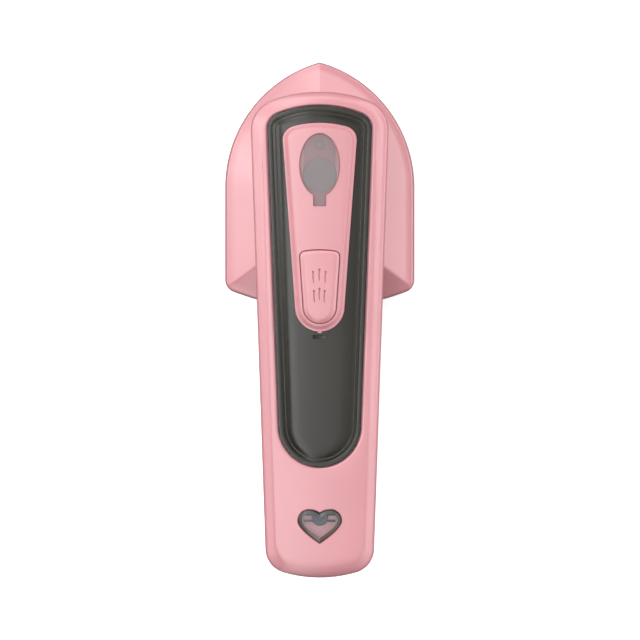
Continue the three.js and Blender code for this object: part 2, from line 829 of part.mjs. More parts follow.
function upperShell() {
  const shell = cut(
    loft(handleHalf, [
      [0, upperZ],
      [0, handleTopZ - 8],
      [0.4, handleTopZ - 5],
      [1.4, handleTopZ - 2.6],
      [3.0, handleTopZ - 1],
      [4.8, handleTopZ - 0.2],
      [6.0, handleTopZ],
    ]),
    loft(handleHalf, [
      [wall, upperZ - 1],
      [wall, handleTopZ - 8],
      [wall + 0.6, handleTopZ - 5.4],
      [wall + 1.6, handleTopZ - 3.8],
      [wall + 3.2, handleTopZ - 2.6],
      [wall + 5, handleTopZ - wall],
    ]),
  );
  const bosses = shellScrews.map(([, x, y, top]) => post(x, y, bossRadius, upperZ, top, 12));
  return cut(
    join(
      shell,
      loft(tankHalf, [[-1.4, ledgeTopZ - 1.7], [-1.4, handleTopZ - 1]]),
      heart([[1.18, heartFloorZ - 1.5, handleTopZ - 1]]),
      ...bosses,
    ),
    loft(tankHalf, [[0, ledgeTopZ], [0, handleTopZ + 1]]),
    loft(tankHalf, [[ledgeWidth, upperZ - 1], [ledgeWidth, handleTopZ + 1]]),
    heart([[1, heartFloorZ, handleTopZ + 1]]),
    post(0, ledY, ledRadius + 0.6, heartFloorZ - 3, heartFloorZ + 1, 12),
    glandHole,
    ...shellScrews.map(([, x, y]) => post(x, y, bigScrew.shankRadius + gap, upperZ - 1, ledgeTopZ - 2, 10)),
  );
}

place(handleGroup, "swivel_retainer", steel, swivelRetainer());
hubBosses.forEach(([x, y], i) => {
  const z = retainerZ - smallScrew.headHeight - 0.1;
  screw(handleGroup, "retainer_screw_" + (i + 1), smallScrew, x, y, z, 8.4, 1);
});
place(handleGroup, "handle_lower_shell", pink, lowerShell());
place(handleGroup, "handle_upper_shell", pink, upperShell());
for (const [where, x, y] of shellScrews) {
  const z = floorAt(y) + screwRecessDepth - bigScrew.headHeight - 0.1;
  screw(handleGroup, "shell_screw_" + where, bigScrew, x, y, z, ledgeTopZ - 2.6 - z, 1);
}

// ---------------------------------------------------------------- handle: tank, panel and button

const buttonWellInset = -1.6;
const outletX = 8;
const outletZ = tankFloorZ + 5;
const tankRearY = (x) => {
  const round = tankHalf(tankInset).at(-1)[1] - tank.roundY;
  return tank.roundY - Math.sqrt(round ** 2 - x ** 2);
};

function tankBody() {
  const duct = post(0, switchY, springBoreRadius + 1.3, tankFloorZ + 0.5, tankTopZ, 16);
  const nippleEnd = tankRearY(outletX) - 2.6;
  return cut(
    join(
      cut(
        loft(tankHalf, [[tankInset + 1, tankFloorZ], [tankInset, tankFloorZ + 1], [tankInset, tankTopZ]]),
        loft(tankHalf, [
          [tankInset + tankWall + 0.7, tankFloorZ + tankWall],
          [tankInset + tankWall, tankFloorZ + tankWall + 0.8],
          [tankInset + tankWall, tankTopZ + 1],
        ]),
      ),
      duct,
      bar("y", nippleEnd, nippleEnd + 3.6, outletX, outletZ, 1.8),
    ),
    post(0, switchY, stemBoreRadius, tankFloorZ - 1, tankTopZ + 1, 16),
    post(0, switchY, springBoreRadius, tankTopZ - springSeatDepth, tankTopZ + 1, 16),
    bar("y", nippleEnd - 1, nippleEnd + 6, outletX, outletZ, 0.9, 8),
  );
}

const hingeY = panel.frontY - flapFromPanelFront + flapHingeFromCentre;
const fillerY = hingeY - fillerFromHinge;

function tankLid() {
  const wellBlock = loft(buttonHalf, [
    [buttonWellInset - 1.4, lidZ],
    [buttonWellInset - 1.4, lidTopZ - 0.2],
  ]);
  return cut(
    join(
      cut(
        loft(tankHalf, [
          [gap, lidZ],
          [gap, lidFlangeTopZ - 0.2],
          [gap + 0.3, lidFlangeTopZ],
          [2.2, lidFlangeTopZ],
          [2.9, lidTopZ - 0.3],
          [4.0, lidTopZ],
        ]),
        loft(tankHalf, [[tankInset + tankWall, lidZ - 1], [tankInset + tankWall, lidTopZ - wall]]),
      ),
      wellBlock,
    ),
    loft(buttonHalf, [[buttonWellInset, pocketFloorZ], [buttonWellInset, lidTopZ + 1]]),
    post(0, switchY, springBoreRadius, lidZ - 1, lidTopZ + 1, 16),
    post(0, fillerY, fillerRadius, lidZ - 1, lidTopZ + 1, 20),
  );
}

// The oval flap with its pull tab, as half an outline from front to rear, grown by a margin.
function flapHalf(margin) {
  const centreY = panel.frontY - flapFromPanelFront;
  const [a, b] = [flap.halfWidth + margin, flap.halfLength + margin];
  const tab = flap.tabHalfWidth + margin;
  const endY = centreY - flap.halfLength - flap.tabReach - margin;
  const meet = Math.asin(tab / a);
  const oval = Array.from({ length: 13 }, (_, i) => {
    const angle = ((Math.PI - meet) * i) / 12;
    return [a * Math.sin(angle), centreY + b * Math.cos(angle)];
  });
  return [...oval, [tab, endY], [0, endY]];
}

function controlPanel() {
  const body = loft(panelHalf, [
    [0, panelZ],
    [0, panelZ + panelLipHeight - 0.3],
    [0.3, panelZ + panelLipHeight],
    [1.0, panelZ + panelLipHeight + 0.1],
    [panelSlope, panelTopZ - 0.3],
    [panelSlope + 0.4, panelTopZ],
  ]);
  return cut(
    body,
    loft(buttonHalf, [[0, panelZ - 1], [0, panelTopZ + 1]]),
    loft(buttonHalf, [[-1.4, panelZ - 1], [-1.4, flangeZ + buttonFlange + gap]]),
    loft((inset) => flapHalf(-inset), [[-gap, flapUnderZ - gap], [-gap, panelTopZ + 1]]),
    post(0, fillerY, fillerRadius, panelZ - 1, panelTopZ, 20),
    post(0, hingeY + 4, 1.9, panelZ - 1, panelTopZ, 12),
  );
}

// The flap bends along a line near its front; the short stretch ahead of it stays with the panel.
function flapPieces() {
  const sheet = loft((inset) => flapHalf(-inset), [[0, flapUnderZ], [0, panelTopZ]]);
  const ahead = block(-20, 20, hingeY + 0.15, hingeY + 20, flapUnderZ - 5, panelTopZ + 5);
  const behind = block(-20, 20, hingeY - 40, hingeY - 0.15, flapUnderZ - 9, panelTopZ + 5);
  const stopper = turned(
    [
      [0, flapUnderZ - plugDepth],
      [fillerRadius - 1.1, flapUnderZ - plugDepth],
      [fillerRadius - 0.4, flapUnderZ - 1],
      [fillerRadius - 0.4, flapUnderZ + 0.5],
      [0, flapUnderZ + 0.5],
    ],
    16,
    0,
    fillerY,
  );
  return {
    anchor: join(sheet.intersect(ahead), post(0, hingeY + 4, 1.5, panelZ + 0.1, flapUnderZ + 0.5, 10)),
    plug: join(sheet.intersect(behind), stopper),
  };
}

const buttonTopZ = panelTopZ + buttonProud;
const plungerTopZ = tankFloorZ + 0.5;

// Two rows of three short engraved strokes, each with a dot at its front end.
function steamMarks() {
  const rows = [
    { y: panelRoundY + 12.4, length: 4.6, spread: 2.6 },
    { y: panelRoundY + 4.7, length: 4.2, spread: 2.1 },
  ];
  return rows.flatMap(({ y, length, spread }) =>
    [-1, 0, 1].flatMap((side) => {
      const front = y + (side === 0 ? 0.9 : 0) + length / 2;
      const x = side * spread;
      return [
        block(x - 0.2, x + 0.2, front - length, front, buttonTopZ - markDepth, buttonTopZ + 1),
        post(x, front, 0.4, buttonTopZ - markDepth, buttonTopZ + 1, 8),
      ];
    }),
  );
}

function steamButton() {
  const cap = loft(buttonHalf, [
    [0.4, flangeZ],
    [0.4, panelTopZ - 0.1],
    [0.8, buttonTopZ - 0.5],
    [1.7, buttonTopZ],
  ]);
  return cut(
    join(
      cap,
      loft(buttonHalf, [[-0.9, flangeZ], [-0.9, flangeZ + buttonFlange]]),
      post(0, switchY, stemRadius, plungerTopZ + gap, flangeZ + 0.5, 12),
    ),
    ...steamMarks(),
  );
}

// A helical compression spring round the button's stem.
class Helix extends THREE.Curve {
  constructor(radius, z0, z1, turns) {
    super();
    Object.assign(this, { radius, z0, z1, turns });
  }
  getPoint(t, target = new THREE.Vector3()) {
    const angle = 2 * Math.PI * this.turns * t;
    return target.set(
      this.radius * Math.cos(angle),
      this.radius * Math.sin(angle),
      this.z0 + (this.z1 - this.z0) * t,
    );
  }
}

function buttonSpring() {
  const radius = (stemRadius + springBoreRadius) / 2 + 0.2;
  const seatZ = tankTopZ - springSeatDepth + springWire + 0.1;
  const path = new Helix(radius, seatZ, flangeZ - springWire - 0.1, springTurns);
  const coil = new THREE.ExtrudeGeometry(disc(springWire, 5), { steps: springTurns * 12, extrudePath: path });
  return solid(coil.translate(0, switchY, 0));
}

const { anchor, plug } = flapPieces();
place(handleGroup, "tank_body", smoked, tankBody());
place(handleGroup, "tank_lid", smoked, tankLid());
place(handleGroup, "control_panel", pink, controlPanel());
place(handleGroup, "filler_plug_anchor", silicone, anchor);
place(handleGroup, "filler_plug", silicone, plug);
place(handleGroup, "steam_button", pink, steamButton());
place(handleGroup, "button_spring", steel, buttonSpring());

// ---------------------------------------------------------------- handle: switch, board and pump

const plungerRadius = 1.5;
const plungerLength = 3.2;
const switchHalf = 3.2;
const switchTopZ = plungerTopZ - buttonTravel; // the stem just clears it at the end of its travel

function steamSwitch() {
  return cut(
    block(-switchHalf, switchHalf, switchY - switchHalf, switchY + switchHalf, switchZ, switchTopZ),
    post(0, switchY, plungerRadius + gap, plungerTopZ - plungerLength - buttonTravel - gap, tankFloorZ, 12),
  );
}

function switchPlunger() {
  return post(0, switchY, plungerRadius, plungerTopZ - plungerLength, plungerTopZ, 10);
}

function controlBoard() {
  const { x0, x1, y0, y1 } = boardArea;
  const top = boardZ + 1.4;
  return join(
    block(x0, x1, y0, y1, boardZ, top),
    block(x0 + 2, x0 + 11, y0 + 7, y0 + 15, top - 0.1, top + 4.8),
    block(x1 - 7, x1 - 2, y0 + 9, y0 + 13, top - 0.1, top + 3),
    bar("x", x0 + 2, x0 + 8, y1 - 8, top + 1.6, 2),
    bar("x", x1 - 6.5, x1 - 1, y1 - 3, top + 0.6, 1),
  );
}

const pumpHeadX = 4.4;
const pumpPortY = pumpY + 4.5;
const hoseRadius = 2.2;
const hoseZ = tankFloorZ - hoseRadius - 0.6;

function pumpHead() {
  return join(
    block(pumpHeadX, pumpHeadX + 8.6, pumpY - 5, pumpPortY - 2.6, hoseZ - 1.8, pumpZ + pumpRadius),
    bar("y", pumpPortY - 3, pumpPortY, outletX, outletZ, 1.6),
    bar("y", pumpPortY - 3, pumpPortY, outletX, hoseZ, 1.6),
  );
}

// From the pump forwards under the tank, then down the hollow hub on the swivel's axis.
function outletHose() {
  const lane = boardArea.x1 + hoseRadius + 1.2;
  const start = pumpPortY + gap;
  const path = new THREE.CatmullRomCurve3(
    [
      [outletX, start, hoseZ],
      [outletX + 0.4, start + 4, hoseZ],
      [lane, start + 20, hoseZ],
      [lane, boardArea.y0, hoseZ],
      [lane, boardArea.y1, hoseZ],
      [lane - 4, -10, hoseZ - 0.6],
      [2.8, -3, hoseZ - 2],
      [0, 0, hoseZ - 6.5],
      [0, 0, handleZ],
      [0, 0, nozzleTopZ + gap],
    ].map((point) => new THREE.Vector3(...point)),
    false,
    "centripetal",
  );
  return solid(new THREE.ExtrudeGeometry(disc(hoseRadius, 8), { steps: 48, extrudePath: path }));
}

// From the tank's nipple straight back to the pump.
function inletHose() {
  return bar("y", pumpPortY + gap, tankRearY(outletX) - 2.6 - gap, outletX, outletZ, hoseRadius);
}

place(handleGroup, "steam_switch", darkPlastic, steamSwitch());
place(handleGroup, "switch_plunger", whitePlastic, switchPlunger());
place(handleGroup, "control_board", board, controlBoard());
place(handleGroup, "pump_motor", steel, bar("x", -16.5, pumpHeadX - gap, pumpY, pumpZ, pumpRadius, 16));
place(handleGroup, "pump_head", whitePlastic, pumpHead());
place(handleGroup, "inlet_hose", redSilicone, inletHose());
place(handleGroup, "outlet_hose", redSilicone, outletHose());
place(handleGroup, "lead_sleeve", whitePlastic, ring(4.6, hoseRadius + 0.6, retainerZ - 1, handleZ + 4, 16));

// ---------------------------------------------------------------- handle: indicator and power inlet

function ledHolder() {
  const [z0, z1] = [heartFloorZ + 0.2, heartFloorZ + 0.9];
  const bars = [ledY + 1.1, ledY - 1.4].map((y) => block(-6.2, 6.2, y - 0.35, y + 0.35, z0, z1));
  return cut(
    join(post(0, ledY, ledRadius + 0.8, z0, z1, 16), ...bars).intersect(heart([[0.93, z0, z1]])),
    post(0, ledY, ledRadius + 0.2, z0 - 1, z1 + 1, 14),
  );
}

function indicatorLed() {
  const z = heartFloorZ - 5.5;
  return turned(
    [
      [0, z],
      [ledRadius + 0.4, z],
      [ledRadius + 0.4, z + 1],
      [ledRadius, z + 1],
      [ledRadius, z + 5],
      [ledRadius * 0.7, z + 6],
      [0, z + 6.5],
    ],
    12,
    0,
    ledY,
  );
}

function cordGland() {
  const profile = [
    [cordBoreRadius, 0.3],
    [glandRadius, 0.3],
    [glandRadius, wall + 1.6],
    [glandRadius + glandFlange, wall + 1.6],
    [glandRadius + glandFlange, wall + 2.8],
    [glandRadius, wall + 2.8],
    [glandRadius, wall + 6],
    [cordBoreRadius, wall + 6],
    [cordBoreRadius, 0.3],
  ];
  return turned(profile, 20).rotate([-90, 0, 0]).translate([0, handleTailY, glandZ]);
}

function cordClamp() {
  return cut(
    block(-clampX - 3, clampX + 3, clampY - 2.6, clampY + 2.6, clampZ, clampZ + 2.4),
    ...[-clampX, clampX].map((x) => post(x, clampY, smallScrew.shankRadius + gap, clampZ - 1, clampZ + 4, 10)),
  );
}

const lensZ = heartFloorZ + 1.4;
place(handleGroup, "heart_lens", clearLens, heart([
  [0.955, lensZ, handleTopZ - 0.2],
  [0.88, lensZ + 0.1, handleTopZ + lensProud],
]));
place(handleGroup, "led_holder", ledBlue, ledHolder());
place(handleGroup, "indicator_led", ledBlue, indicatorLed());
place(handleGroup, "cord_gland", rubber, cordGland());
place(handleGroup, "cord_clamp", whitePlastic, cordClamp());
[-clampX, clampX].forEach((x, i) => {
  const z = clampZ + 2.5 + smallScrew.headHeight;
  screw(handleGroup, "clamp_screw_" + (i + 1), smallScrew, x, clampY, z, 8, -1);
});

export default steamer;
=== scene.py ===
# %% [markdown]
# # A hand-held garment steamer
# A small travel steamer lies on its soleplate and is seen from straight above: a pink moulded
# handle with a smoked water tank let into it, and below it the pink cover of the heated head.
# The mechanical model is loaded as a fixed frame, and this file makes the surfaces that are
# seen. Every size below is in metres, so `mm` turns the drawing's millimetres into metres.

# %% Load the frame
import json
import math

import bmesh
import bpy
import numpy as np
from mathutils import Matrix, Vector


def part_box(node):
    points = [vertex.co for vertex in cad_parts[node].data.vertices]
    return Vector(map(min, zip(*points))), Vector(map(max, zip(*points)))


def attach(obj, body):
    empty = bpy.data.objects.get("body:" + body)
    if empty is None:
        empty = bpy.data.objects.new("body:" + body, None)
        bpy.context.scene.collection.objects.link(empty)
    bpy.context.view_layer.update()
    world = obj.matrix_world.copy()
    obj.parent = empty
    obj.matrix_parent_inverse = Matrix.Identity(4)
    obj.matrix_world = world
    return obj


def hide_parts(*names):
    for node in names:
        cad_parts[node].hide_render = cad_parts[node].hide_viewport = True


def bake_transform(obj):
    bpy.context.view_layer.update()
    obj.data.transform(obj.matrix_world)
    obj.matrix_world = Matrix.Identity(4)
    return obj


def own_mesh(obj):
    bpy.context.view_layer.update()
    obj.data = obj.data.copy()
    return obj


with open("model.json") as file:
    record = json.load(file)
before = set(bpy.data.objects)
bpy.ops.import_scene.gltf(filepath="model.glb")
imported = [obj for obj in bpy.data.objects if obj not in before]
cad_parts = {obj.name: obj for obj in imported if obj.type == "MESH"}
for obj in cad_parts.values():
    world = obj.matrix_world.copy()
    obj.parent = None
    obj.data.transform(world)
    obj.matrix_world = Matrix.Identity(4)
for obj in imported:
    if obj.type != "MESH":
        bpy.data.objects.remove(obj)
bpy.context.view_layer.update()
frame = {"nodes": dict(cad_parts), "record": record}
nodes = frame["nodes"]
mm = 0.001

# %% [markdown]
# ## Camera
# Seen from above with a long lens, an object hardly shows perspective, but it shows a little:
# the head lies lower than the handle and looks smaller. An orthographic camera would lose that,
# so a long lens stands far away. Its length follows from the width that fills the frame at the
# handle's top face.

# %% Camera
camera_height = 1.42
frame_width = 256 * mm  # what the view takes in across, at the handle's top face
view_centre_y = -50 * mm
handle_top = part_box("handle_upper_shell")[1].z


def linked(name, data):
    """An object that shows a mesh, light or camera, linked to the scene."""
    thing = bpy.data.objects.new(name, data)
    bpy.context.scene.collection.objects.link(thing)
    return thing


camera_data = bpy.data.cameras.new("camera")
camera_data.sensor_width = 36
camera_data.lens = camera_data.sensor_width * (camera_height - handle_top) / frame_width
camera_data.clip_end = 20
camera = linked("camera", camera_data)
camera.location = (0.1 * mm, view_centre_y, camera_height)
bpy.context.scene.camera = camera
print("lens", round(camera_data.lens, 1), "mm")

# %% [markdown]
# ## Light
# Satin plastic shows its form by wide soft reflections. A large softbox stands on the left and
# lights every face that leans that way, a weaker one above it softens the shadows, and a panel
# beyond the nose lights the front. A strip on the right lights that side and is kept out of the
# gloss. Nothing stands at the tail, so faces that lean that way stay deep pink. One even dome
# of light would be simpler, but every slope would then have the same tone.

# %% Soft boxes
def softbox(name, place, aim, width, length, power):
    light = bpy.data.lights.new(name, "AREA")
    light.shape = "RECTANGLE"
    light.size = width
    light.size_y = length
    light.energy = power
    lamp = linked(name, light)
    lamp.location = place
    lamp.rotation_euler = (Vector(aim) - Vector(place)).to_track_quat("-Z", "Y").to_euler()
    return lamp


stage_centre = (0, view_centre_y, 0)
softbox("key_left", (-0.88, 0.22, 0.50), stage_centre, 0.5, 0.9, 4.6)
softbox("sky_left", (-0.55, 0.25, 0.95), stage_centre, 0.45, 0.9, 1.1)
softbox("front_panel", (-0.55, 0.80, 0.60), stage_centre, 0.9, 0.4, 1.6)
strip = softbox("strip_right", (0.98, 0.05, 0.25), stage_centre, 0.4, 1.1, 5.2)
strip.visible_glossy = False  # the smoked lid would show it as a bright line
print("softboxes:", len(bpy.data.lights))

# %% [markdown]
# ### The room
# A facet that leans by 40 degrees mirrors the horizon to a camera overhead, so the room has a
# bright band round the horizon, except behind the tail. A card hangs overhead, a little to the
# left: the glossy lid mirrors it and turns black where the card ends on the right. Both are
# painted on the sky by ramps along the axes, because real cards would have to hang close by
# and would stand in the way of views from other sides.

# %% Room
def studio_room():
    world = bpy.data.worlds.new("studio")
    world.use_nodes = True
    tree = world.node_tree
    place = tree.nodes.new("ShaderNodeTexCoord")
    split = tree.nodes.new("ShaderNodeSeparateXYZ")
    tree.links.new(place.outputs["Generated"], split.inputs["Vector"])

    def levels(axis, stops):
        """Brightness along one axis of the view direction, from -1 to 1."""
        shift = tree.nodes.new("ShaderNodeMapRange")
        shift.inputs["From Min"].default_value = -1
        tree.links.new(split.outputs[axis], shift.inputs["Value"])
        ramp = tree.nodes.new("ShaderNodeValToRGB")
        ramp.color_ramp.elements[0].position = 0
        ramp.color_ramp.elements[1].position = 1
        ends = {0: ramp.color_ramp.elements[0], 1: ramp.color_ramp.elements[1]}
        for position, level in stops:
            stop = ends.get(position) or ramp.color_ramp.elements.new(position)
            stop.color = (level, level, level, 1)
        tree.links.new(shift.outputs["Result"], ramp.inputs["Fac"])
        return ramp.outputs["Color"]

    def mixed(kind, first, second):
        mix = tree.nodes.new("ShaderNodeMix")
        mix.data_type = "RGBA"
        mix.blend_type = kind
        mix.clamp_result = False
        mix.inputs[0].default_value = 1
        tree.links.new(first, mix.inputs[6])
        tree.links.new(second, mix.inputs[7])
        return mix.outputs[2]

    band = levels("Z", [
        (0, 0.02), (0.49, 0.02), (0.515, 3.4), (0.59, 2.8), (0.64, 0.08), (0.9, 0.01), (1, 0.01),
    ])
    length = levels("Y", [(0, 0.02), (0.25, 0.06), (0.4, 0.85), (0.6, 1.0), (1, 0.5)])
    overhead = levels("Z", [(0, 0), (0.9, 0), (0.96, 1), (1, 1)])
    card = levels("X", [
        (0, 0), (0.28, 0), (0.34, 3.2), (0.40, 2.6), (0.47, 0.9), (0.567, 0.7), (0.573, 0.02), (1, 0.02),
    ])
    total = mixed("ADD", mixed("MULTIPLY", band, length), mixed("MULTIPLY", overhead, card))
    tree.links.new(total, tree.nodes["Background"].inputs["Color"])
    bpy.context.scene.world = world


studio_room()
bpy.context.scene.view_settings.view_transform = "Standard"
print("room:", len(bpy.context.scene.world.node_tree.nodes), "shader nodes")

# %% [markdown]
# ## Outlines
# Seen from above every moulding has one of two outlines: the head's, where two shoulder arcs
# meet in a nose, and a slot with leaning sides, an arched front and a round or arched rear.
# They are worked out as half outlines down the right side, drawn in by an inset. A moulding's
# surface is then a loft through such outlines at rising heights. Subdivision modelling could
# make the same forms, but arcs keep the true radii and every edge falls where it is wanted.

# %% Arcs and rings
def arc(cx, cy, radius, start, stop, steps):
    angles = np.linspace(start, stop, steps + 1)
    return np.column_stack((cx + radius * np.cos(angles), cy + radius * np.sin(angles)))


def straight(start, stop, steps):
    """Points from start to stop, without either end."""
    share = np.linspace(0, 1, steps + 1)[1:-1, None]
    return start + (stop - start) * share


def whole(half):
    """The closed outline from its right half: front, left side, rear, right side."""
    mirrored = half[1:-1] * (-1, 1)
    return np.vstack((half[:1], mirrored, half[-1:], half[1:-1][::-1]))


# %% [markdown]
# ### The head's outline
# The sides are arcs that run together into a nose, blunted by a small arc. The rear edge is a
# flat arc between two rounded corners. Drawn in, the corners keep close to one sharp line, so
# the roof of the cover gets the ridges of a hipped roof.

# %% Head outline
head_low, head_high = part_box("head_cover")
head_half_width = head_high.x
rear_y = head_low.y
shoulder_radius = 53.8 * mm
shoulder_y = 5.0 * mm
rear_radius = 99 * mm
nose_radius = 1.5 * mm
base_corner = 5.2 * mm
ridge_corner = 1.0 * mm


def head_half(inset):
    corner = max(base_corner - 2.2 * inset, ridge_corner)
    nose = max(nose_radius - 0.3 * inset, 0.5 * mm)
    off_centre = shoulder_radius - head_half_width
    reach = shoulder_radius - inset - nose
    nose_y = shoulder_y + math.sqrt(reach**2 - off_centre**2)
    nose_angle = math.atan2(nose_y - shoulder_y, off_centre)
    centre_y = rear_y + rear_radius
    corner_x = head_half_width - inset - corner
    reach = rear_radius - inset - corner
    corner_y = centre_y - math.sqrt(reach**2 - corner_x**2)
    corner_angle = math.atan2(corner_y - centre_y, corner_x)
    side_top = np.array([[head_half_width - inset, shoulder_y]])
    side_end = np.array([[head_half_width - inset, corner_y]])
    return np.vstack((
        arc(0, nose_y, nose, math.pi / 2, nose_angle, 5),
        arc(-off_centre, shoulder_y, shoulder_radius - inset, nose_angle, 0, 40)[1:],
        straight(side_top, side_end, 8),
        arc(corner_x, corner_y, corner, 0, corner_angle, 10),
        arc(0, centre_y, rear_radius - inset, corner_angle, -math.pi / 2, 14)[1:],
    ))


print("head outline has", len(whole(head_half(0))), "points")

# %% [markdown]
# ### The slot outlines
# The handle, the tank's window, the control panel and the steam button are one family. Their
# sides lean in towards the tail, and a corner arc touches both the side and the arched front.
# With the same number of points in each, any two of them can be lofted together, and the
# corner arc is solved for, so that it stays tangent however far the outline is drawn in.

# %% Slot outline
def slot_half(slot, inset):
    taper = slot["taper"]
    slant = math.hypot(1, taper)
    lean = math.atan(taper)

    def side(y):
        return slot["half_width"] + taper * (y - slot["ref_y"]) - inset * slant

    def corner_at(arch_y, arch_radius, radius, end):
        base = side(0) - radius * slant
        b = base * taper - arch_y
        c = base**2 + arch_y**2 - (arch_radius - radius) ** 2
        y = (-b + end * math.sqrt(b * b - slant * slant * c)) / slant**2
        return base + taper * y, y

    radius = max(slot["front_corner"] - inset, 0.5 * mm)
    arch = slot["front_arch"] - inset
    arch_y = slot["front_y"] - slot["front_arch"]
    x, y = corner_at(arch_y, arch, radius, 1)
    angle = math.atan2(y - arch_y, x)
    front = np.vstack((
        arc(0, arch_y, arch, math.pi / 2, angle, 10),
        arc(x, y, radius, angle, -lean, 12)[1:],
    ))
    if "round_y" in slot:
        rear = arc(0, slot["round_y"], side(slot["round_y"]) / slant, -lean, -math.pi / 2, 23)
    else:
        radius = max(slot["rear_corner"] - inset, 0.5 * mm)
        arch = slot["rear_arch"] - inset
        arch_y = slot["rear_y"] + slot["rear_arch"]
        x, y = corner_at(arch_y, arch, radius, -1)
        angle = math.atan2(y - arch_y, x)
        rear = np.vstack((
            arc(x, y, radius, -lean, angle, 13),
            arc(0, arch_y, arch, angle, -math.pi / 2, 10)[1:],
        ))
    return np.vstack((front, straight(front[-1], rear[0], 21), rear))


handle_low, handle_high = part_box("handle_upper_shell")
handle = dict(
    front_y=handle_high.y, front_arch=57.6 * mm, front_corner=12.9 * mm,
    half_width=27.7 * mm, ref_y=handle_high.y - 15.2 * mm, taper=0.0345,
    rear_y=handle_low.y, rear_arch=52.4 * mm, rear_corner=10 * mm,
)
window = dict(
    front_y=handle_high.y - 5.6 * mm, front_arch=46.8 * mm, front_corner=6.8 * mm,
    half_width=21.3 * mm, ref_y=handle_high.y - 15.2 * mm, taper=0.0374,
    round_y=handle_low.y + 61.2 * mm,
)
panel_low, panel_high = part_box("control_panel")
panel_round_y = panel_low.y + 9.9 * mm
panel = dict(
    front_y=panel_high.y, front_arch=41.6 * mm, front_corner=5.6 * mm,
    half_width=14.75 * mm, ref_y=panel_high.y - 7.6 * mm, taper=0.0735,
    round_y=panel_round_y,
)
button_front_y = panel_round_y + 22.9 * mm
button = dict(
    front_y=button_front_y, front_arch=40 * mm, front_corner=2.4 * mm,
    half_width=8.25 * mm, ref_y=button_front_y - 2.9 * mm, taper=0.07,
    round_y=panel_round_y,
)
print("slot outlines have", len(whole(slot_half(handle, 0))), "points")

# %% [markdown]
# ### Crown and sections
# A section is an outline, an inset, a height and a share of the crown. The handle's top is not
# flat but crowned across its width, like a very large cylinder, and everything set into it
# shares that crown. A share of 1 drops a point by the full crown, 0 leaves it level. Bending
# finished pieces with a modifier would do it too, but would also bend their vertical walls.

# %% Crown and sections
crown_radius = 140 * mm


def crown(x):
    return x**2 / (2 * crown_radius)


def section(outline, inset, z, share=0.0):
    points = whole(outline(inset))
    return np.column_stack((points, z - share * crown(points[:, 0])))


print("the crown drops", round(crown(handle["half_width"]) / mm, 2), "mm at the handle's side")

# %% [markdown]
# ### Pieces from points
# Every surface here starts as a list of points and faces. One function turns such a list into
# a piece and cleans it, so double points at poles and seams need no care where they arise.
# Edges that turn by more than the sharp angle stay crisp, and all others are shaded smooth.

# %% New pieces
sharp_angle = math.radians(32)
double_distance = 2e-7
degenerate_distance = 1e-7


def tidy(piece):
    """Merges double points, turns all faces outwards and shades smooth between sharp edges."""
    shape = bmesh.new()
    shape.from_mesh(piece.data)
    bmesh.ops.remove_doubles(shape, verts=shape.verts, dist=double_distance)
    bmesh.ops.dissolve_degenerate(shape, edges=shape.edges, dist=degenerate_distance)
    bmesh.ops.recalc_face_normals(shape, faces=shape.faces)
    shape.to_mesh(piece.data)
    shape.free()
    piece.data.shade_smooth()
    piece.data.set_sharp_from_angle(angle=sharp_angle)


def new_piece(name, points, faces):
    mesh = bpy.data.meshes.new(name)
    mesh.from_pydata([tuple(point) for point in points], [], faces)
    piece = linked(name, mesh)
    tidy(piece)
    return piece


def wall_faces(levels, count, closed=False):
    """Quads between each ring of points and the next, and back to the first where closed."""
    faces = []
    for level in range(levels if closed else levels - 1):
        low = level * count
        high = ((level + 1) % levels) * count
        for i in range(count):
            j = (i + 1) % count
            faces.append((low + i, low + j, high + j, high + i))
    return faces


# %% [markdown]
# ### Lofts and caps
# A loft joins rings of points by quads. Its ends could be closed by one many-sided face each,
# but a crowned top would then shade in streaks. So a cap is a grid whose rows join mirrored
# points of the ring, and its inner points follow the crown.

# %% Lofts and caps
def cap_faces(start, count, columns, first_free):
    """A grid of faces across a ring. Returns the faces and the pairs of points that rows join."""
    half = count // 2
    rows = []
    pairs = []
    free = first_free
    for i in range(1, half):
        left, right = start + i, start + count - i
        inner = list(range(free, free + columns - 1))
        free += columns - 1
        pairs.append((left, right))
        rows.append([left, *inner, right])
    faces = []
    for upper, lower in zip(rows, rows[1:]):
        for k in range(columns):
            faces.append((upper[k], lower[k], lower[k + 1], upper[k + 1]))
    for k in range(columns):
        faces.append((start, rows[0][k], rows[0][k + 1]))
        faces.append((start + half, rows[-1][k + 1], rows[-1][k]))
    return faces, pairs


def loft(name, rings, closed=False, columns=8, shares=(0, 0), notched=False):
    """A surface through rings. Closed joins the last ring to the first, or else both ends are
    capped. A notched outline gets rows that dip below its notch."""
    count = len(rings[0])
    points = list(np.vstack(rings))
    faces = wall_faces(len(rings), count, closed)
    ends = () if closed else ((0, shares[0]), (len(rings) - 1, shares[1]))
    for ring_index, share in ends:
        cap, pairs = cap_faces(ring_index * count, count, columns, len(points))
        first = points[ring_index * count]
        last = points[ring_index * count + count // 2]
        for row, (left, right) in enumerate(pairs, start=1):
            middle = (points[left] + points[right]) / 2
            if notched:
                middle[1] = min(middle[1], first[1] + (last[1] - first[1]) * row / (count // 2))
            level_z = points[left][2] + share * crown(points[left][0])
            for k in range(1, columns):
                along = 2 * k / columns
                if along <= 1:
                    point = points[left] + (middle - points[left]) * along
                else:
                    point = middle + (points[right] - middle) * (along - 1)
                point[2] = level_z - share * crown(point[0])
                points.append(point)
        faces += [f[::-1] for f in cap] if ring_index == 0 else cap
    return new_piece(name, points, faces)


# %% [markdown]
# ### Turned pieces and cuts
# Round pieces are lathed from a profile of radius and height, which keeps their edges round
# where a cylinder with a bevel would leave pinched corners. Holes are cut with Blender's
# boolean modifier, which is applied at once so that the cutter can be thrown away.

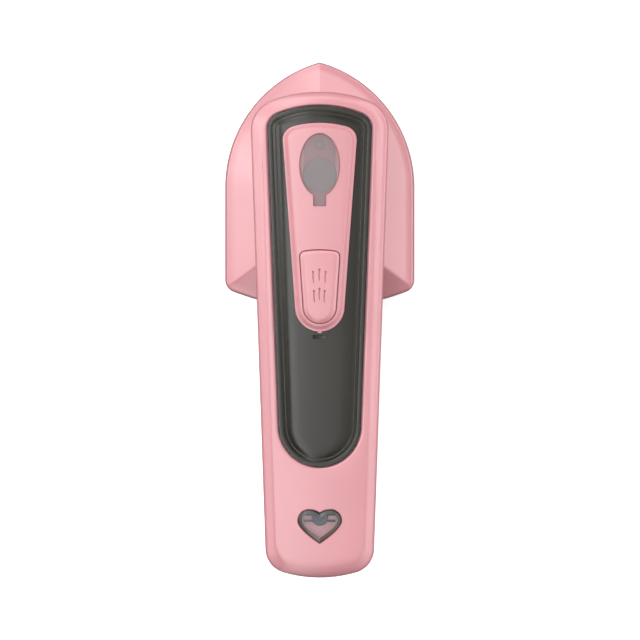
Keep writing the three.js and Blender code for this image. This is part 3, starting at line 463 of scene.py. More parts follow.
# %% Turned pieces
def lathe(name, profile, sides=64, centre=(0, 0)):
    """Turns a profile of (radius, z) about an upright axis. It is open only along the axis."""
    angles = np.linspace(0, 2 * math.pi, sides, endpoint=False)
    points = []
    for radius, z in profile:
        for a in angles:
            points.append((centre[0] + radius * math.cos(a), centre[1] + radius * math.sin(a), z))
    on_axis = profile[0][0] == 0 and profile[-1][0] == 0
    return new_piece(name, points, wall_faces(len(profile), sides, closed=not on_axis))


def lay_along_y(piece, y, z):
    """Turns an upright piece so that its axis runs along Y at height z, and its foot is at y."""
    for vertex in piece.data.vertices:
        across, down, up = vertex.co
        vertex.co = (across, y + up, z - down)
    return piece


def disc_profile(radius, z0, z1, edge=0.15 * mm):
    """A plain cylinder with a small chamfer at both ends, from axis to axis."""
    return [
        (0, z0), (radius - edge, z0), (radius, z0 + edge), (radius, z1 - edge), (radius - edge, z1), (0, z1),
    ]


# %% Join and cut
def join(target, *others):
    """Adds the other pieces' meshes to the target piece."""
    shape = bmesh.new()
    for piece in (target, *others):
        shape.from_mesh(piece.data)
    shape.to_mesh(target.data)
    shape.free()
    for piece in others:
        bpy.data.objects.remove(piece)
    return target


def carve(target, *cutters, keep=False):
    """Cuts the cutters out of the target, or keeps only what lies inside them."""
    for cutter in cutters:
        modifier = target.modifiers.new("cut", "BOOLEAN")
        modifier.operation = "INTERSECT" if keep else "DIFFERENCE"
        modifier.solver = "EXACT"
        modifier.material_mode = "TRANSFER"
        modifier.object = cutter
        bpy.context.view_layer.update()
        evaluated = target.evaluated_get(bpy.context.evaluated_depsgraph_get())
        result = bpy.data.meshes.new_from_object(evaluated)
        target.modifiers.remove(modifier)
        target.data = result
        bpy.data.objects.remove(cutter)
    tidy(target)
    return target


# %% Rounded edges and blocks
def superellipse(width, height, power=2.0, steps=12):
    """(inset, drop) pairs from the vertical side (0, height) to the level face (width, 0)."""
    pairs = []
    for k in range(steps + 1):
        angle = math.pi / 2 * k / steps
        across = math.cos(angle) ** (2 / power)
        up = math.sin(angle) ** (2 / power)
        pairs.append((width * (1 - across), height * (1 - up)))
    return pairs


def block(name, centre, size, bevel=0.0):
    """A box about a centre, with its edges bevelled where asked."""
    shape = bmesh.new()
    bmesh.ops.create_cube(shape, size=1)
    bmesh.ops.scale(shape, vec=size, verts=shape.verts)
    bmesh.ops.translate(shape, vec=centre, verts=shape.verts)
    if bevel:
        bmesh.ops.bevel(shape, geom=shape.edges, offset=bevel, segments=2, affect="EDGES", profile=0.5)
    mesh = bpy.data.meshes.new(name)
    shape.to_mesh(mesh)
    shape.free()
    return linked(name, mesh)


# %% [markdown]
# ## Finishes
# The mouldings are satin ABS. Real ones have a fine spark-eroded grain, a tone that drifts a
# little with the flow of the plastic, and a gloss that is not quite even. A painted texture
# would need a flat layout of every piece. Each finish below is built from noise in the
# piece's own space instead, so it has no seams.

# %% Material helpers
def new_finish(name):
    material = bpy.data.materials.new(name)
    material.use_nodes = True
    shader = material.node_tree.nodes["Principled BSDF"]
    return material, material.node_tree, shader


def object_noise(tree, scale, detail=2, stretch=None):
    """Noise in the piece's own space, so that it moves with the piece."""
    place = tree.nodes.new("ShaderNodeTexCoord")
    noise = tree.nodes.new("ShaderNodeTexNoise")
    noise.inputs["Scale"].default_value = scale
    noise.inputs["Detail"].default_value = detail
    if stretch is None:
        tree.links.new(place.outputs["Object"], noise.inputs["Vector"])
    else:
        mapping = tree.nodes.new("ShaderNodeMapping")
        mapping.inputs["Scale"].default_value = stretch
        tree.links.new(place.outputs["Object"], mapping.inputs["Vector"])
        tree.links.new(mapping.outputs["Vector"], noise.inputs["Vector"])
    return noise.outputs["Fac"]


def ramp(tree, factor, low, high, start=0.3, stop=0.7):
    """A colour ramp between two colours."""
    made = tree.nodes.new("ShaderNodeValToRGB")
    made.color_ramp.elements[0].position = start
    made.color_ramp.elements[0].color = (*low, 1)
    made.color_ramp.elements[1].position = stop
    made.color_ramp.elements[1].color = (*high, 1)
    tree.links.new(factor, made.inputs["Fac"])
    return made.outputs["Color"]


def vary(tree, factor, low, high):
    """A value between two limits that follows a noise."""
    made = tree.nodes.new("ShaderNodeMapRange")
    made.inputs["To Min"].default_value = low
    made.inputs["To Max"].default_value = high
    tree.links.new(factor, made.inputs["Value"])
    return made.outputs["Result"]


def tone_and_gloss(tree, shader, tones, tone_scale, gloss, gloss_scale, tone_detail=2):
    """Lets the colour drift between two tones and the roughness between two limits."""
    tone = object_noise(tree, tone_scale, tone_detail)
    tree.links.new(ramp(tree, tone, *tones), shader.inputs["Base Color"])
    uneven = object_noise(tree, gloss_scale)
    tree.links.new(vary(tree, uneven, *gloss), shader.inputs["Roughness"])


def bump(tree, shader, height, distance):
    made = tree.nodes.new("ShaderNodeBump")
    made.inputs["Distance"].default_value = distance
    made.inputs["Strength"].default_value = 1
    tree.links.new(height, made.inputs["Height"])
    tree.links.new(made.outputs["Normal"], shader.inputs["Normal"])


def tones_of(colour, low, high):
    """A colour made darker and lighter by two factors."""
    return [tuple(min(c * factor, 1.0) for c in colour) for factor in (low, high)]


# %% [markdown]
# ### Plastics
# One function makes every moulded plastic: tone drift at the scale of centimetres, an uneven
# gloss, and grain of about a fifth of a millimetre as bump.

# %% Moulded plastic
def moulded(name, colour, gloss=(0.34, 0.42), grain=2600, depth=0.012 * mm, drift=0.03, specular=0.5):
    material, tree, shader = new_finish(name)
    tone_and_gloss(tree, shader, tones_of(colour, 1 - drift, 1 + drift), 35, gloss, 220)
    shader.inputs["Specular IOR Level"].default_value = specular
    bump(tree, shader, object_noise(tree, grain, detail=1), depth)
    return material


pink = moulded("pink_abs", (0.555, 0.236, 0.26), gloss=(0.26, 0.34), specular=0.9)
# the engraved strokes get a darker pink: painted shade in the grooves
groove_shade_pink = moulded("engraved_mark_painted_shade", (0.48, 0.19, 0.22), gloss=(0.5, 0.6))
dark_nylon = moulded("dark_nylon", (0.035, 0.034, 0.036), gloss=(0.45, 0.58), grain=1500, depth=0.03 * mm)
white_plastic = moulded("white_plastic", (0.75, 0.74, 0.70), gloss=(0.4, 0.5))
led_grey = moulded("led_blue_grey", (0.03, 0.038, 0.065), gloss=(0.25, 0.35))
red_silicone = moulded("red_silicone", (0.38, 0.07, 0.045), gloss=(0.5, 0.6))
black_rubber = moulded("black_rubber", (0.02, 0.02, 0.021), gloss=(0.55, 0.68), grain=1200, depth=0.03 * mm)
print("plastics:", [material.name for material in bpy.data.materials])

# %% [markdown]
# ### See-through plastics
# The tank is smoked polycarbonate: a dark, clear plastic with a hard gloss through which the
# inside shows only faintly. The filler plug is milky silicone and the heart is clear. Real
# transmission would bend the light, but it takes many samples to come out clean. Each finish
# lets a share of what lies below through by its alpha instead.

# %% Smoked, milky and clear
def see_through(name, colour, alpha, gloss, drift=0.08):
    material, tree, shader = new_finish(name)
    tone_and_gloss(tree, shader, tones_of(colour, 1 - drift, 1 + drift), 45, gloss, 160)
    shader.inputs["Alpha"].default_value = alpha
    return material


smoked = see_through("smoked_polycarbonate", (0.022, 0.021, 0.016), 0.84, (0.18, 0.24))
smoked_inner = see_through("smoked_tank_wall", (0.05, 0.05, 0.045), 0.55, (0.15, 0.25))
milky = see_through("milky_silicone", (0.30, 0.26, 0.265), 0.36, (0.38, 0.48))
plug_core = see_through("plug_core", (0.27, 0.24, 0.245), 0.9, (0.4, 0.5))
clear = see_through("clear_lens", (0.34, 0.36, 0.37), 0.1, (0.03, 0.06), drift=0.02)
# darker copies of the clear finish for the bevel and the rim: painted shade where the glass would bend light
# away
lens_bevel_shade = see_through("clear_lens_bevel_shade", (0.07, 0.08, 0.07), 0.8, (0.06, 0.1))
lens_rim_shade = see_through("clear_lens_rim_shade", (0.012, 0.01, 0.01), 0.96, (0.2, 0.3))
print("with see-through finishes:", len(bpy.data.materials))

# %% [markdown]
# ### Metals and the circuit board
# The soleplate has a baked ceramic coat with fine speckles. The casting has the sandy skin of
# die-cast aluminium. Screws and sheet parts are bright zinc with faint drawing lines, which
# come from noise scaled along one axis. The board is green with pale pads at the centres of
# a Voronoi pattern's cells, which is enough for a part that is hardly seen.

# %% Metals
def metal(name, colour, gloss, grain, depth, stretch=None, metallic=1.0):
    material, tree, shader = new_finish(name)
    tone_and_gloss(tree, shader, tones_of(colour, 0.92, 1.06), 90, gloss, 300, tone_detail=3)
    shader.inputs["Metallic"].default_value = metallic
    bump(tree, shader, object_noise(tree, grain, stretch=stretch), depth)
    return material


zinc = metal("bright_zinc", (0.66, 0.67, 0.69), (0.22, 0.34), 900, 0.01 * mm, stretch=(1, 1, 12))
cast_aluminium = metal("cast_aluminium", (0.58, 0.59, 0.60), (0.42, 0.6), 900, 0.06 * mm)
ceramic_coat = metal("ceramic_coat", (0.46, 0.44, 0.42), (0.22, 0.32), 1800, 0.01 * mm, metallic=0.35)


def circuit_board():
    material, tree, shader = new_finish("circuit_board")
    cells = tree.nodes.new("ShaderNodeTexVoronoi")
    cells.inputs["Scale"].default_value = 420
    place = tree.nodes.new("ShaderNodeTexCoord")
    tree.links.new(place.outputs["Object"], cells.inputs["Vector"])
    colours = ramp(tree, cells.outputs["Distance"], (0.45, 0.42, 0.3), (0.015, 0.12, 0.05), 0.12, 0.2)
    tree.links.new(colours, shader.inputs["Base Color"])
    shader.inputs["Roughness"].default_value = 0.35
    return material


board_green = circuit_board()
print("finishes:", len(bpy.data.materials))

# %% [markdown]
# ### Who wears which finish
# Every mechanical part gets the finish of its material slot, also those that a new piece hides
# later on. New pieces get theirs when they are made.

# %% Finishes of the parts
finish_of = {
    "pink_shell": pink, "smoked_tank": smoked_inner, "grey_silicone": milky, "clear_lens": clear,
    "dark_plastic": dark_nylon, "white_plastic": white_plastic, "coated_soleplate": ceramic_coat,
    "cast_aluminium": cast_aluminium, "steel": zinc, "black_rubber": black_rubber,
    "red_silicone": red_silicone, "circuit_board": board_green, "led_blue_grey": led_grey,
}


def paint(piece, material):
    piece.data.materials.clear()
    piece.data.materials.append(material)


slot_of = {row["node"]: row["material_slot"] for row in frame["record"]["subparts"]}
for node_name, node_object in nodes.items():
    paint(node_object, finish_of[slot_of[node_name]])


def finished(piece, body, slot, material, *replaced):
    """Paints a piece, ties it to its body, hides the nodes it stands for, and prints it. The slot
    is not used.
    """
    if material is not None:
        paint(piece, material)
    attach(piece, body)
    if replaced:
        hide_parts(*replaced)
    print(piece.name, "has", len(piece.data.polygons), "faces")
    return piece


print("parts painted:", len(nodes))


# %% [markdown]
# ## The floor
# A wide pale sheet that glows faintly, as a back-lit product table does, so that the shadows
# around the object stay light. A brighter lamp would lighten them too, but it would also
# bleach the pink.

# %% Floor
def pale_floor():
    material, tree, shader = new_finish("pale_floor")
    shader.inputs["Base Color"].default_value = (0.86, 0.86, 0.86, 1)
    shader.inputs["Roughness"].default_value = 0.9
    shader.inputs["Emission Color"].default_value = (1, 1, 1, 1)
    shader.inputs["Emission Strength"].default_value = 0.55
    mesh = bpy.data.meshes.new("floor")
    reach = 4.0
    corners = [(-reach, -reach, 0), (reach, -reach, 0), (reach, reach, 0), (-reach, reach, 0)]
    mesh.from_pydata(corners, [], [(0, 1, 2, 3)])
    floor = linked("floor", mesh)
    floor.location.z = -0.2 * mm
    paint(floor, material)
    floor.visible_glossy = False  # the sheet isn't mirrored in the steep sides
    floor.visible_diffuse = False  # and its glow doesn't light them
    print("floor:", 2 * reach, "m across")


pale_floor()

# %% [markdown]
# ## The head cover
# A thin pink shell like a hipped roof. It has an upright rim, a rounded eave, slopes of one
# pitch that meet in ridges, and a small level top that the swivel stands on. Because the
# outline is drawn in by the same inset all round, the ridges come out by themselves, where
# separate roof planes would have to be fitted to each other. The hollow is cut out afterwards.

# %% Head cover
cover_z = head_low.z
plateau_z = head_high.z
eave_z = cover_z + 3.2 * mm
shell_wall = 2.0 * mm
roof_inset = 17.4 * mm
eave_radius = 1.5 * mm
rim_lean = 0.5 * mm
hub_radius = 12 * mm
hub_clearance = 0.3 * mm


def head_section(inset, z):
    return section(head_half, inset, z)


def head_cover():
    slope = (plateau_z - eave_z) / roof_inset
    rings = [head_section(0.3 * mm, cover_z), head_section(0, cover_z + 0.4 * mm)]
    for inset, drop in superellipse(eave_radius, eave_radius, steps=6):
        rings.append(head_section(rim_lean + inset, eave_z + slope * eave_radius - drop))
    foot = rings[-1][0][2]
    start = rim_lean + eave_radius
    climb = (plateau_z - foot) / (roof_inset - start)
    for inset in np.linspace(start, roof_inset - 0.8 * mm, 8)[1:]:
        rings.append(head_section(inset, foot + climb * (inset - start) * 0.99))
    rings.append(head_section(roof_inset, plateau_z))
    outside = loft("head_cover_shell", rings)
    hollow = loft("hollow", [head_section(inset, z) for inset, z in (
        (shell_wall, cover_z - 1 * mm), (shell_wall, cover_z),
        (shell_wall + 0.2 * mm, eave_z - shell_wall / 2), (roof_inset, plateau_z - shell_wall),
    )])
    gap_radius, gap_top = hub_radius + hub_clearance, plateau_z + 5 * mm
    hub_gap = lathe("hub_gap", [(0, 0), (gap_radius, 0), (gap_radius, gap_top), (0, gap_top)])
    return carve(outside, hollow, hub_gap)


finished(head_cover(), "head", "pink_shell", pink, "head_cover")

# %% [markdown]
# ## The heat shield
# Below the cover a dark nylon skirt keeps fingers off the hot casting. It is a closed loft of
# the head's outline, out, up and back inside, so its wall needs no cut.

# %% Heat shield
def heat_shield():
    low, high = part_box("heat_shield")
    rings = [head_section(inset * mm, z) for inset, z in (
        (4.4, low.z), (1.9, low.z), (1.5, low.z + 0.2 * mm), (1.05, low.z + 1.0 * mm),
        (1.0, high.z - 0.3 * mm), (1.25, high.z), (4.4, high.z),
    )]
    return loft("heat_skirt", rings, closed=True)


finished(heat_shield(), "head", "dark_plastic", dark_nylon, "heat_shield")

# %% [markdown]
# ## The soleplate
# A coated plate with a rolled edge and steam holes. Most of them follow the edge, and three lie
# ahead of the middle. A plain cylinder would cut a sharp rim that catches threads, so each hole
# is cut by a turned piece with a wider mouth.

# %% Steam holes
hole_radius = 1.2 * mm
countersink = 0.8 * mm  # how much wider and how deep the mouth is


def along_edge(inset, degrees, side_ys):
    """Points drawn in from the head's edge, along the shoulder arcs and then the sides."""
    reach = shoulder_radius - inset
    off_centre = shoulder_radius - head_half_width
    points = [
        (reach * math.cos(math.radians(d)) - off_centre, shoulder_y + reach * math.sin(math.radians(d)))
        for d in degrees
    ]
    points += [(head_half_width - inset, y) for y in side_ys]
    return points + [(-x, y) for x, y in points]


def steam_hole(x, y, top):
    """A drilled hole with a countersunk mouth at the working face."""
    below, above = -0.1 * mm, top + 1 * mm
    profile = [
        (0, below), (hole_radius + countersink, below), (hole_radius, countersink),
        (hole_radius, above), (0, above),
    ]
    return lathe("hole", profile, sides=24, centre=(x, y))


hole_places = along_edge(19.2 * mm, (55, 40, 25, 10), (-6 * mm, -18 * mm))
hole_places += [(0, shoulder_y + 18 * mm), (8 * mm, shoulder_y + 8 * mm), (-8 * mm, shoulder_y + 8 * mm)]
print("steam holes:", len(hole_places))


# %% Soleplate
def soleplate():
    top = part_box("soleplate")[1].z
    rings = [head_section(3.4 * mm, 0)]
    for inset, drop in superellipse(1.5 * mm, 1.2 * mm, steps=6)[::-1]:
        rings.append(head_section(1.9 * mm + inset, drop))
    rings.append(head_section(1.9 * mm, top - 0.2 * mm))
    rings.append(head_section(2.1 * mm, top))
    return carve(loft("sole", rings), *[steam_hole(x, y, top) for x, y in hole_places])


finished(soleplate(), "head", "coated_soleplate", ceramic_coat, "soleplate")

# %% [markdown]
# ## The swivel ring
# A nylon ring between head and handle, which the handle turns on. It shows as a dark line, so a
# turned ring with a fine groove round its edge is all that it needs.

# %% Swivel ring
def swivel_ring():
    low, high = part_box("swivel_ring")
    outer, inner, edge = high.x, hub_radius + 0.5 * mm, 0.3 * mm
    middle = (low.z + high.z) / 2
    profile = [
        (inner, low.z), (outer - edge, low.z), (outer, low.z + edge), (outer, middle - 0.1 * mm),
        (outer - 0.25 * mm, middle), (outer, middle + 0.1 * mm), (outer, high.z - edge),
        (outer - edge, high.z), (inner, high.z),
    ]
    return lathe("turning_ring", profile, sides=128)


finished(swivel_ring(), "head", "dark_plastic", dark_nylon, "swivel_ring")

# %% [markdown]
# ## The handle's lower shell
# A deep tray whose sides swell out from a keel. The keel runs level over the swivel and then
# climbs towards the tail. The tray is lofted level and the climb is added to the points, so the
# outline and the parting line stay as they are. A lattice could bend it too, but not as exactly.

# %% Keel
keel_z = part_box("swivel_ring")[1].z + 0.3 * mm
parting_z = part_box("handle_upper_shell")[0].z - 0.3 * mm
lower_depth = parting_z - keel_z
tail_rise = 5 * mm
keel_start_y = -24 * mm
tongue = 1.3 * mm


def keel(points):
    """Lifts the underside towards the tail, most at the keel and nothing at the parting line."""
    along = np.clip((keel_start_y - points[:, 1]) / (keel_start_y - handle_low.y), 0, 1)
    along = along * along * (3 - 2 * along)
    depth = np.clip((parting_z - points[:, 2]) / lower_depth, 0, 1.2)
    lifted = points.copy()
    lifted[:, 2] += tail_rise * along * depth
    return lifted


def handle_half(inset):
    return slot_half(handle, inset)


def keel_section(inset, z):
    return keel(section(handle_half, inset, z))


def floor_at(y):
    return keel(np.array([[0.0, y, keel_z]]))[0][2]


print("the keel climbs", round((floor_at(handle_low.y) - keel_z) / mm, 1), "mm to the tail")

# %% [markdown]
# ### Screw recesses and the tray
# Four screws sit in deep round recesses, and the cord's gland in a hole that both shells share.
# The belly is a superellipse, because a plain quarter ellipse would make the underside too
# round to lie flat in the hand.

# %% Lower shell
screw_places = [
    ("front_left", -9 * mm, handle_high.y - 4.8 * mm), ("front_right", 9 * mm, handle_high.y - 4.8 * mm),
    ("rear_left", -15 * mm, handle_low.y + 10.6 * mm), ("rear_right", 15 * mm, handle_low.y + 10.6 * mm),
]
recess_radius = 2.9 * mm
recess_depth = 5.2 * mm
gland_z = parting_z - 1.2 * mm
belly_power = 2.6


def lower_shell():
    belly = superellipse(9 * mm, lower_depth, belly_power, steps=18)[::-1]
    rings = [keel_section(inset, keel_z + drop) for inset, drop in belly[:-1]]
    groove, rib = shell_wall + 0.1 * mm, shell_wall + 0.7 * mm
    rings += [keel_section(inset, z) for inset, z in (
        (0, parting_z - 0.25 * mm), (0.25 * mm, parting_z), (groove, parting_z),
        (groove, parting_z + tongue), (rib, parting_z + tongue),
    )]
    inner = superellipse(8 * mm, lower_depth - shell_wall, belly_power, steps=10)
    rings += [keel_section(rib + inset, keel_z + shell_wall + drop) for inset, drop in inner]
    tray = loft("handle_tray", rings)
    cutters = [
        lathe("recess", disc_profile(recess_radius, keel_z - 5 * mm, floor_at(y) + recess_depth), 32, (x, y))
        for _, x, y in screw_places
    ]
    return carve(tray, *cutters, gland_cutter())


def gland_cutter():
    cutter = lathe("gland_hole", disc_profile(5.0 * mm, -5 * mm, 5 * mm), 48)
    return lay_along_y(cutter, handle_low.y, gland_z)


def swivel_hub():
    """The hollow neck that passes through the head cover."""
    inner, low, high = hub_radius - 2.4 * mm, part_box("handle_lower_shell")[0].z, keel_z + 1 * mm
    return lathe("hub", [(inner, low), (hub_radius, low), (hub_radius, high), (inner, high)])


tray = join(lower_shell(), swivel_hub())
tidy(tray)
finished(tray, "handle", "pink_shell", pink, "handle_lower_shell")

# %% [markdown]
# ## The handle's upper shell
# Its side rises straight from the parting line and turns over in a soft quarter ellipse, which
# goes on to the window's edge where there is room. There it rolls down into the window's seat.
# It is one closed loft that goes out, up, over, down and back inside. A boolean cut for the
# window would be shorter, but would leave the rolled edge to a bevel that tears at the corners.

# %% Upper shell's measures
upper_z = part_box("handle_upper_shell")[0].z
rim_width = 4.3 * mm  # how far the even rim reaches in
round_width = 6.5 * mm  # how far the rounding goes on where there is room
rim_height = 7.5 * mm
ledge_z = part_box("tank_lid")[0].z - 0.2 * mm


def window_half(inset):
    return slot_half(window, inset)


def rim_drop(inset):
    """How far the handle's rounded edge lies below its top, at an inset from the outline."""
    left = np.clip(1 - inset / round_width, 0, 1)
    return rim_height * (1 - np.sqrt(1 - left**2))


print("the handle's edge is rounded over", round(round_width / mm, 1), "mm")

# %% [markdown]
# ### The heart's outline
# The heart near the tail is two mirrored halves of three cubic curves each. Growing it evenly
# moves every point along its own normal, because scaling would thin the lobes and the point
# by different amounts.

# %% Heart outline
def heart_half(grow=0.0, steps=28):
    """Half a heart from the notch to the point, as two cubic curves."""
    notch_y = handle_low.y + 26.4 * mm

    def cubic(a, b, c, d):
        t = np.linspace(0, 1, steps + 1)[:, None]
        a, b, c, d = (np.array(p) for p in (a, b, c, d))
        return (1 - t) ** 3 * a + 3 * (1 - t) ** 2 * t * b + 3 * (1 - t) * t**2 * c + t**3 * d

    curves = np.vstack((
        cubic((0, 0), (1.2, 0.9), (2.8, 1.4), (4.4, 1.4)),
        cubic((4.4, 1.4), (7.0, 1.4), (8.9, -0.6), (8.9, -3.0))[1:],
        cubic((8.9, -3.0), (8.9, -6.0), (4.2, -9.4), (0, -12.3))[1:],
    )) * mm + (0, notch_y)
    return offset(curves, grow)


def offset(half, grow):
    """Moves a half outline outwards by grow, keeping its ends on the centre line and the rest
    to the right of it by a least step from point to point."""
    least_step = 0.004 * mm
    closed = whole(half)
    ahead = np.roll(closed, -1, 0) - closed
    behind = closed - np.roll(closed, 1, 0)
    ahead /= np.linalg.norm(ahead, axis=1)[:, None]
    behind /= np.linalg.norm(behind, axis=1)[:, None]
    normal = np.column_stack((ahead[:, 1] + behind[:, 1], -(ahead[:, 0] + behind[:, 0])))
    size = np.linalg.norm(normal, axis=1)[:, None]
    mitre = np.clip(2 / size**2, 0.25, 1.2)
    moved = closed + normal * mitre * grow
    right = np.vstack((moved[:1], moved[len(half):][::-1], moved[len(half) - 1:len(half)]))
    right[0, 0] = right[-1, 0] = 0
    count = len(right)
    for end, order in ((0, range(1, count)), (count - 1, range(count - 2, 0, -1))):
        for step, i in enumerate(order, start=1):
            least = least_step * step
            if right[i, 0] >= least:
                break
            right[i] = (least, max(right[i, 1], right[end, 1] + least))
    return right


print("the heart is", round(2 * heart_half()[:, 0].max() / mm, 1), "mm wide")

# %% Upper shell
edge_roll = 0.9 * mm  # radius of the roll into the window's seat
seat_width = 1.8 * mm
seat_thickness = 1.7 * mm


def upper_shell():
    rings = [section(handle_half, 0.25 * mm, upper_z), section(handle_half, 0, upper_z + 0.25 * mm)]
    for along in np.linspace(0, 1, 15):
        inset = rim_width * along**2
        share = min(inset / (2 * mm), 1)
        rings.append(section(handle_half, inset, handle_top - rim_drop(inset), share))
    last = rings[-1][:, :2]
    edge = whole(window_half(-edge_roll))
    gap = np.linalg.norm(edge - last, axis=1)
    for along in np.linspace(0, 1, 13)[1:]:
        points = last + (edge - last) * along**2
        drop = rim_drop(rim_width + gap * along**2)
        rings.append(np.column_stack((points, handle_top - drop - crown(points[:, 0]))))
    for inset, fall in superellipse(edge_roll, edge_roll, steps=5)[::-1][1:]:
        ring = section(window_half, -inset, handle_top - fall, 1)
        ring[:, 2] -= rim_drop(rim_width + gap) * inset / edge_roll
        rings.append(ring)
    seat_under = ledge_z - seat_thickness
    rings += [section(outline, inset, z) for outline, inset, z in (
        (window_half, 0, ledge_z), (window_half, seat_width, ledge_z), (window_half, seat_width, seat_under),
        (handle_half, rim_width + 0.5 * mm, seat_under),
        (handle_half, shell_wall + 0.6 * mm, handle_top - 6 * mm), (handle_half, shell_wall, upper_z),
    )]
    shell = loft("handle_top_shell", rings, closed=True)
    mouth = [(0.35 * mm, handle_top + 0.5 * mm), (0.3 * mm, handle_top - 0.05 * mm),
             (0.05 * mm, handle_top - 0.35 * mm), (0, handle_top - 3.0 * mm)]
    pocket = loft("pocket", [section(heart_half, grow, z) for grow, z in mouth], notched=True)
    return carve(shell, pocket, gland_cutter())


finished(upper_shell(), "handle", "pink_shell", pink, "handle_upper_shell")

# %% [markdown]
# ## The tank's lid
# The smoked lid drops into the window's seat. From its edge inwards it has a narrow flange, a
# fine groove and a rounded shoulder, and then a nearly level top that shares the crown. A
# table of insets and heights draws that profile once, and the loft carries it all round.
# Under the panel it is cut for the button's flange, the spring and the filler.

# %% Places on the lid
lid_low, lid_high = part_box("tank_lid")
flange_z = lid_high.z - 0.95 * mm
switch_y = panel_round_y + 7.8 * mm
spring_bore = 4.6 * mm
filler_radius = 5.4 * mm
hinge_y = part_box("filler_plug")[1].y + 0.15 * mm
stopper_y = hinge_y - 8.1 * mm


def button_half(inset):
    return slot_half(button, inset)


print("filler hole at y", round(stopper_y / mm, 1), "mm, switch at y", round(switch_y / mm, 1), "mm")

# %% Tank lid
below_lid, above_lid = lid_low.z - 1 * mm, lid_high.z + 1 * mm


def tank_lid():
    steps = [
        (0.45, -2.2, 0), (0.4, -0.2, 1), (0.6, 0, 1), (1.9, 0.06, 1), (2.15, -0.06, 1),
        (2.4, -0.16, 1), (2.65, -0.08, 1), (2.9, 0.12, 1), (3.25, 0.24, 1), (3.55, 0.22, 1),
        (3.75, 0.12, 1), (3.95, 0.16, 1), (4.25, 0.4, 1), (4.7, 0.6, 1), (5.3, 0.74, 1),
        (6.3, 0.86, 1), (8.0, 0.95, 1),
    ]
    rings = [section(window_half, inset * mm, flange_z + z * mm, share) for inset, z, share in steps]
    window = loft("tank_window", rings, columns=12, shares=(0, 1))
    notch = block("notch", (0, panel_low.y - 2.1 * mm, lid_high.z), (5.6 * mm, 1.5 * mm, 2.4 * mm), 0.3 * mm)
    # 42 sides keep the bore's points off the centre line, where the lid's own points lie
    bore = lathe("bore", disc_profile(spring_bore, below_lid, above_lid), 42, (0, switch_y))
    filler = lathe("filler", disc_profile(filler_radius, below_lid, above_lid), 48, (0, stopper_y))
    well = loft("well", [section(button_half, -1.4 * mm, lid_high.z + z * mm) for z in (1, -0.5, -1.7)])
    return carve(window, well, notch, bore, filler)


finished(tank_lid(), "handle", "smoked_tank", smoked, "tank_lid")

# %% [markdown]
# ## The control panel
# A pink insert on the lid. A narrow lip runs round its foot, and from it a steep slope climbs
# to a field that holds the filler plug and the steam button. The plug's seat is cut with the
# plug's own outline, grown a little, so the gap round it is even.

# %% Outlines on the panel
field_z = panel_high.z
flange_top = panel_low.z + 0.6 * mm  # the button's flange catches below this
peg_y = hinge_y + 4 * mm


def panel_half(inset):
    return slot_half(panel, inset)


def flap_half(grow, steps=40):
    """The plug's oval with its pull tab, as half an outline from front to rear."""
    centre_y = panel_high.y - 16.9 * mm
    a, b, tab = 8.0 * mm + grow, 12.5 * mm + grow, 2.4 * mm + grow
    end_y = centre_y - 12.5 * mm - 3.8 * mm - grow
    meet = math.asin(tab / a)
    angles = np.linspace(0, math.pi - meet, steps + 1)
    oval = np.column_stack((a * np.sin(angles), centre_y + b * np.cos(angles)))
    corner = 0.35 * mm
    foot = arc(tab - corner, end_y + corner, corner, 0, -math.pi / 2, 5)
    return np.vstack((oval, straight(oval[-1], foot[0], 8), foot, [[0, end_y - 0.05 * mm]]))


print("the plug's flap is", round(2 * flap_half(0)[:, 0].max() / mm, 1), "mm wide")


# %% Control panel
def control_panel():
    base = panel_low.z
    lip = base + 1.05 * mm
    seat_floor = field_z - 1.7 * mm
    steps = [
        (0.15 * mm, base), (0, base + 0.2 * mm), (0, lip - 0.4 * mm), (0.1 * mm, lip - 0.12 * mm),
        (0.35 * mm, lip), (0.7 * mm, lip), (0.85 * mm, lip - 0.05 * mm), (1.0 * mm, lip + 0.1 * mm),
        (1.15 * mm, lip + 0.35 * mm), (1.95 * mm, field_z - 0.4 * mm), (2.15 * mm, field_z - 0.18 * mm),
        (2.4 * mm, field_z - 0.04 * mm), (2.7 * mm, field_z),
    ]
    rings = [section(panel_half, inset, z, 1) for inset, z in steps]
    body = loft("panel_insert", rings, columns=16, shares=(1, 1))
    undercut = flange_top + 0.3 * mm
    well = loft("well", [section(button_half, inset * mm, z) for inset, z in (
        (-0.25, field_z + 2 * mm), (-0.2, field_z + 0.02 * mm), (-0.05, field_z - 0.2 * mm),
        (0, field_z - 0.5 * mm), (0, undercut), (-1.3, undercut), (-1.3, base - 1 * mm),
    )])
    seat = loft("seat", [section(flap_half, 0.25 * mm, z) for z in (field_z + 2 * mm, seat_floor)])
    throat = lathe("throat", [
        (0, base - 1 * mm), (filler_radius, base - 1 * mm), (filler_radius, seat_floor - 0.9 * mm),
        (filler_radius + 1.5 * mm, seat_floor + 0.02 * mm), (filler_radius + 1.5 * mm, field_z), (0, field_z),
    ], 64, (0, stopper_y))
    peg_hole = lathe("peg_hole", disc_profile(2.05 * mm, base - 1 * mm, field_z), 32, (0, peg_y))
    tab = block("tab", (0, panel_low.y + 0.1 * mm, lip - 0.75 * mm), (1.6 * mm, 1.4 * mm, 0.9 * mm), 0.2 * mm)
    return join(carve(body, well, seat, throat, peg_hole), tab)


finished(control_panel(), "handle", "pink_shell", pink, "control_panel")

# %% [markdown]
# ## The steam button
# A pad with a sloping border and six engraved strokes, each with a dot at its front end. Bump
# could draw the strokes, but real grooves catch the light from every side. So each stroke is
# a thin wavy tube that is cut out of the top, and the cut keeps the tube's darker pink, which
# is painted shade in the grooves.

# %% Engraved strokes
button_low, button_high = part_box("steam_button")
button_top = button_high.z
mark_steps = 22
mark_sides = 10


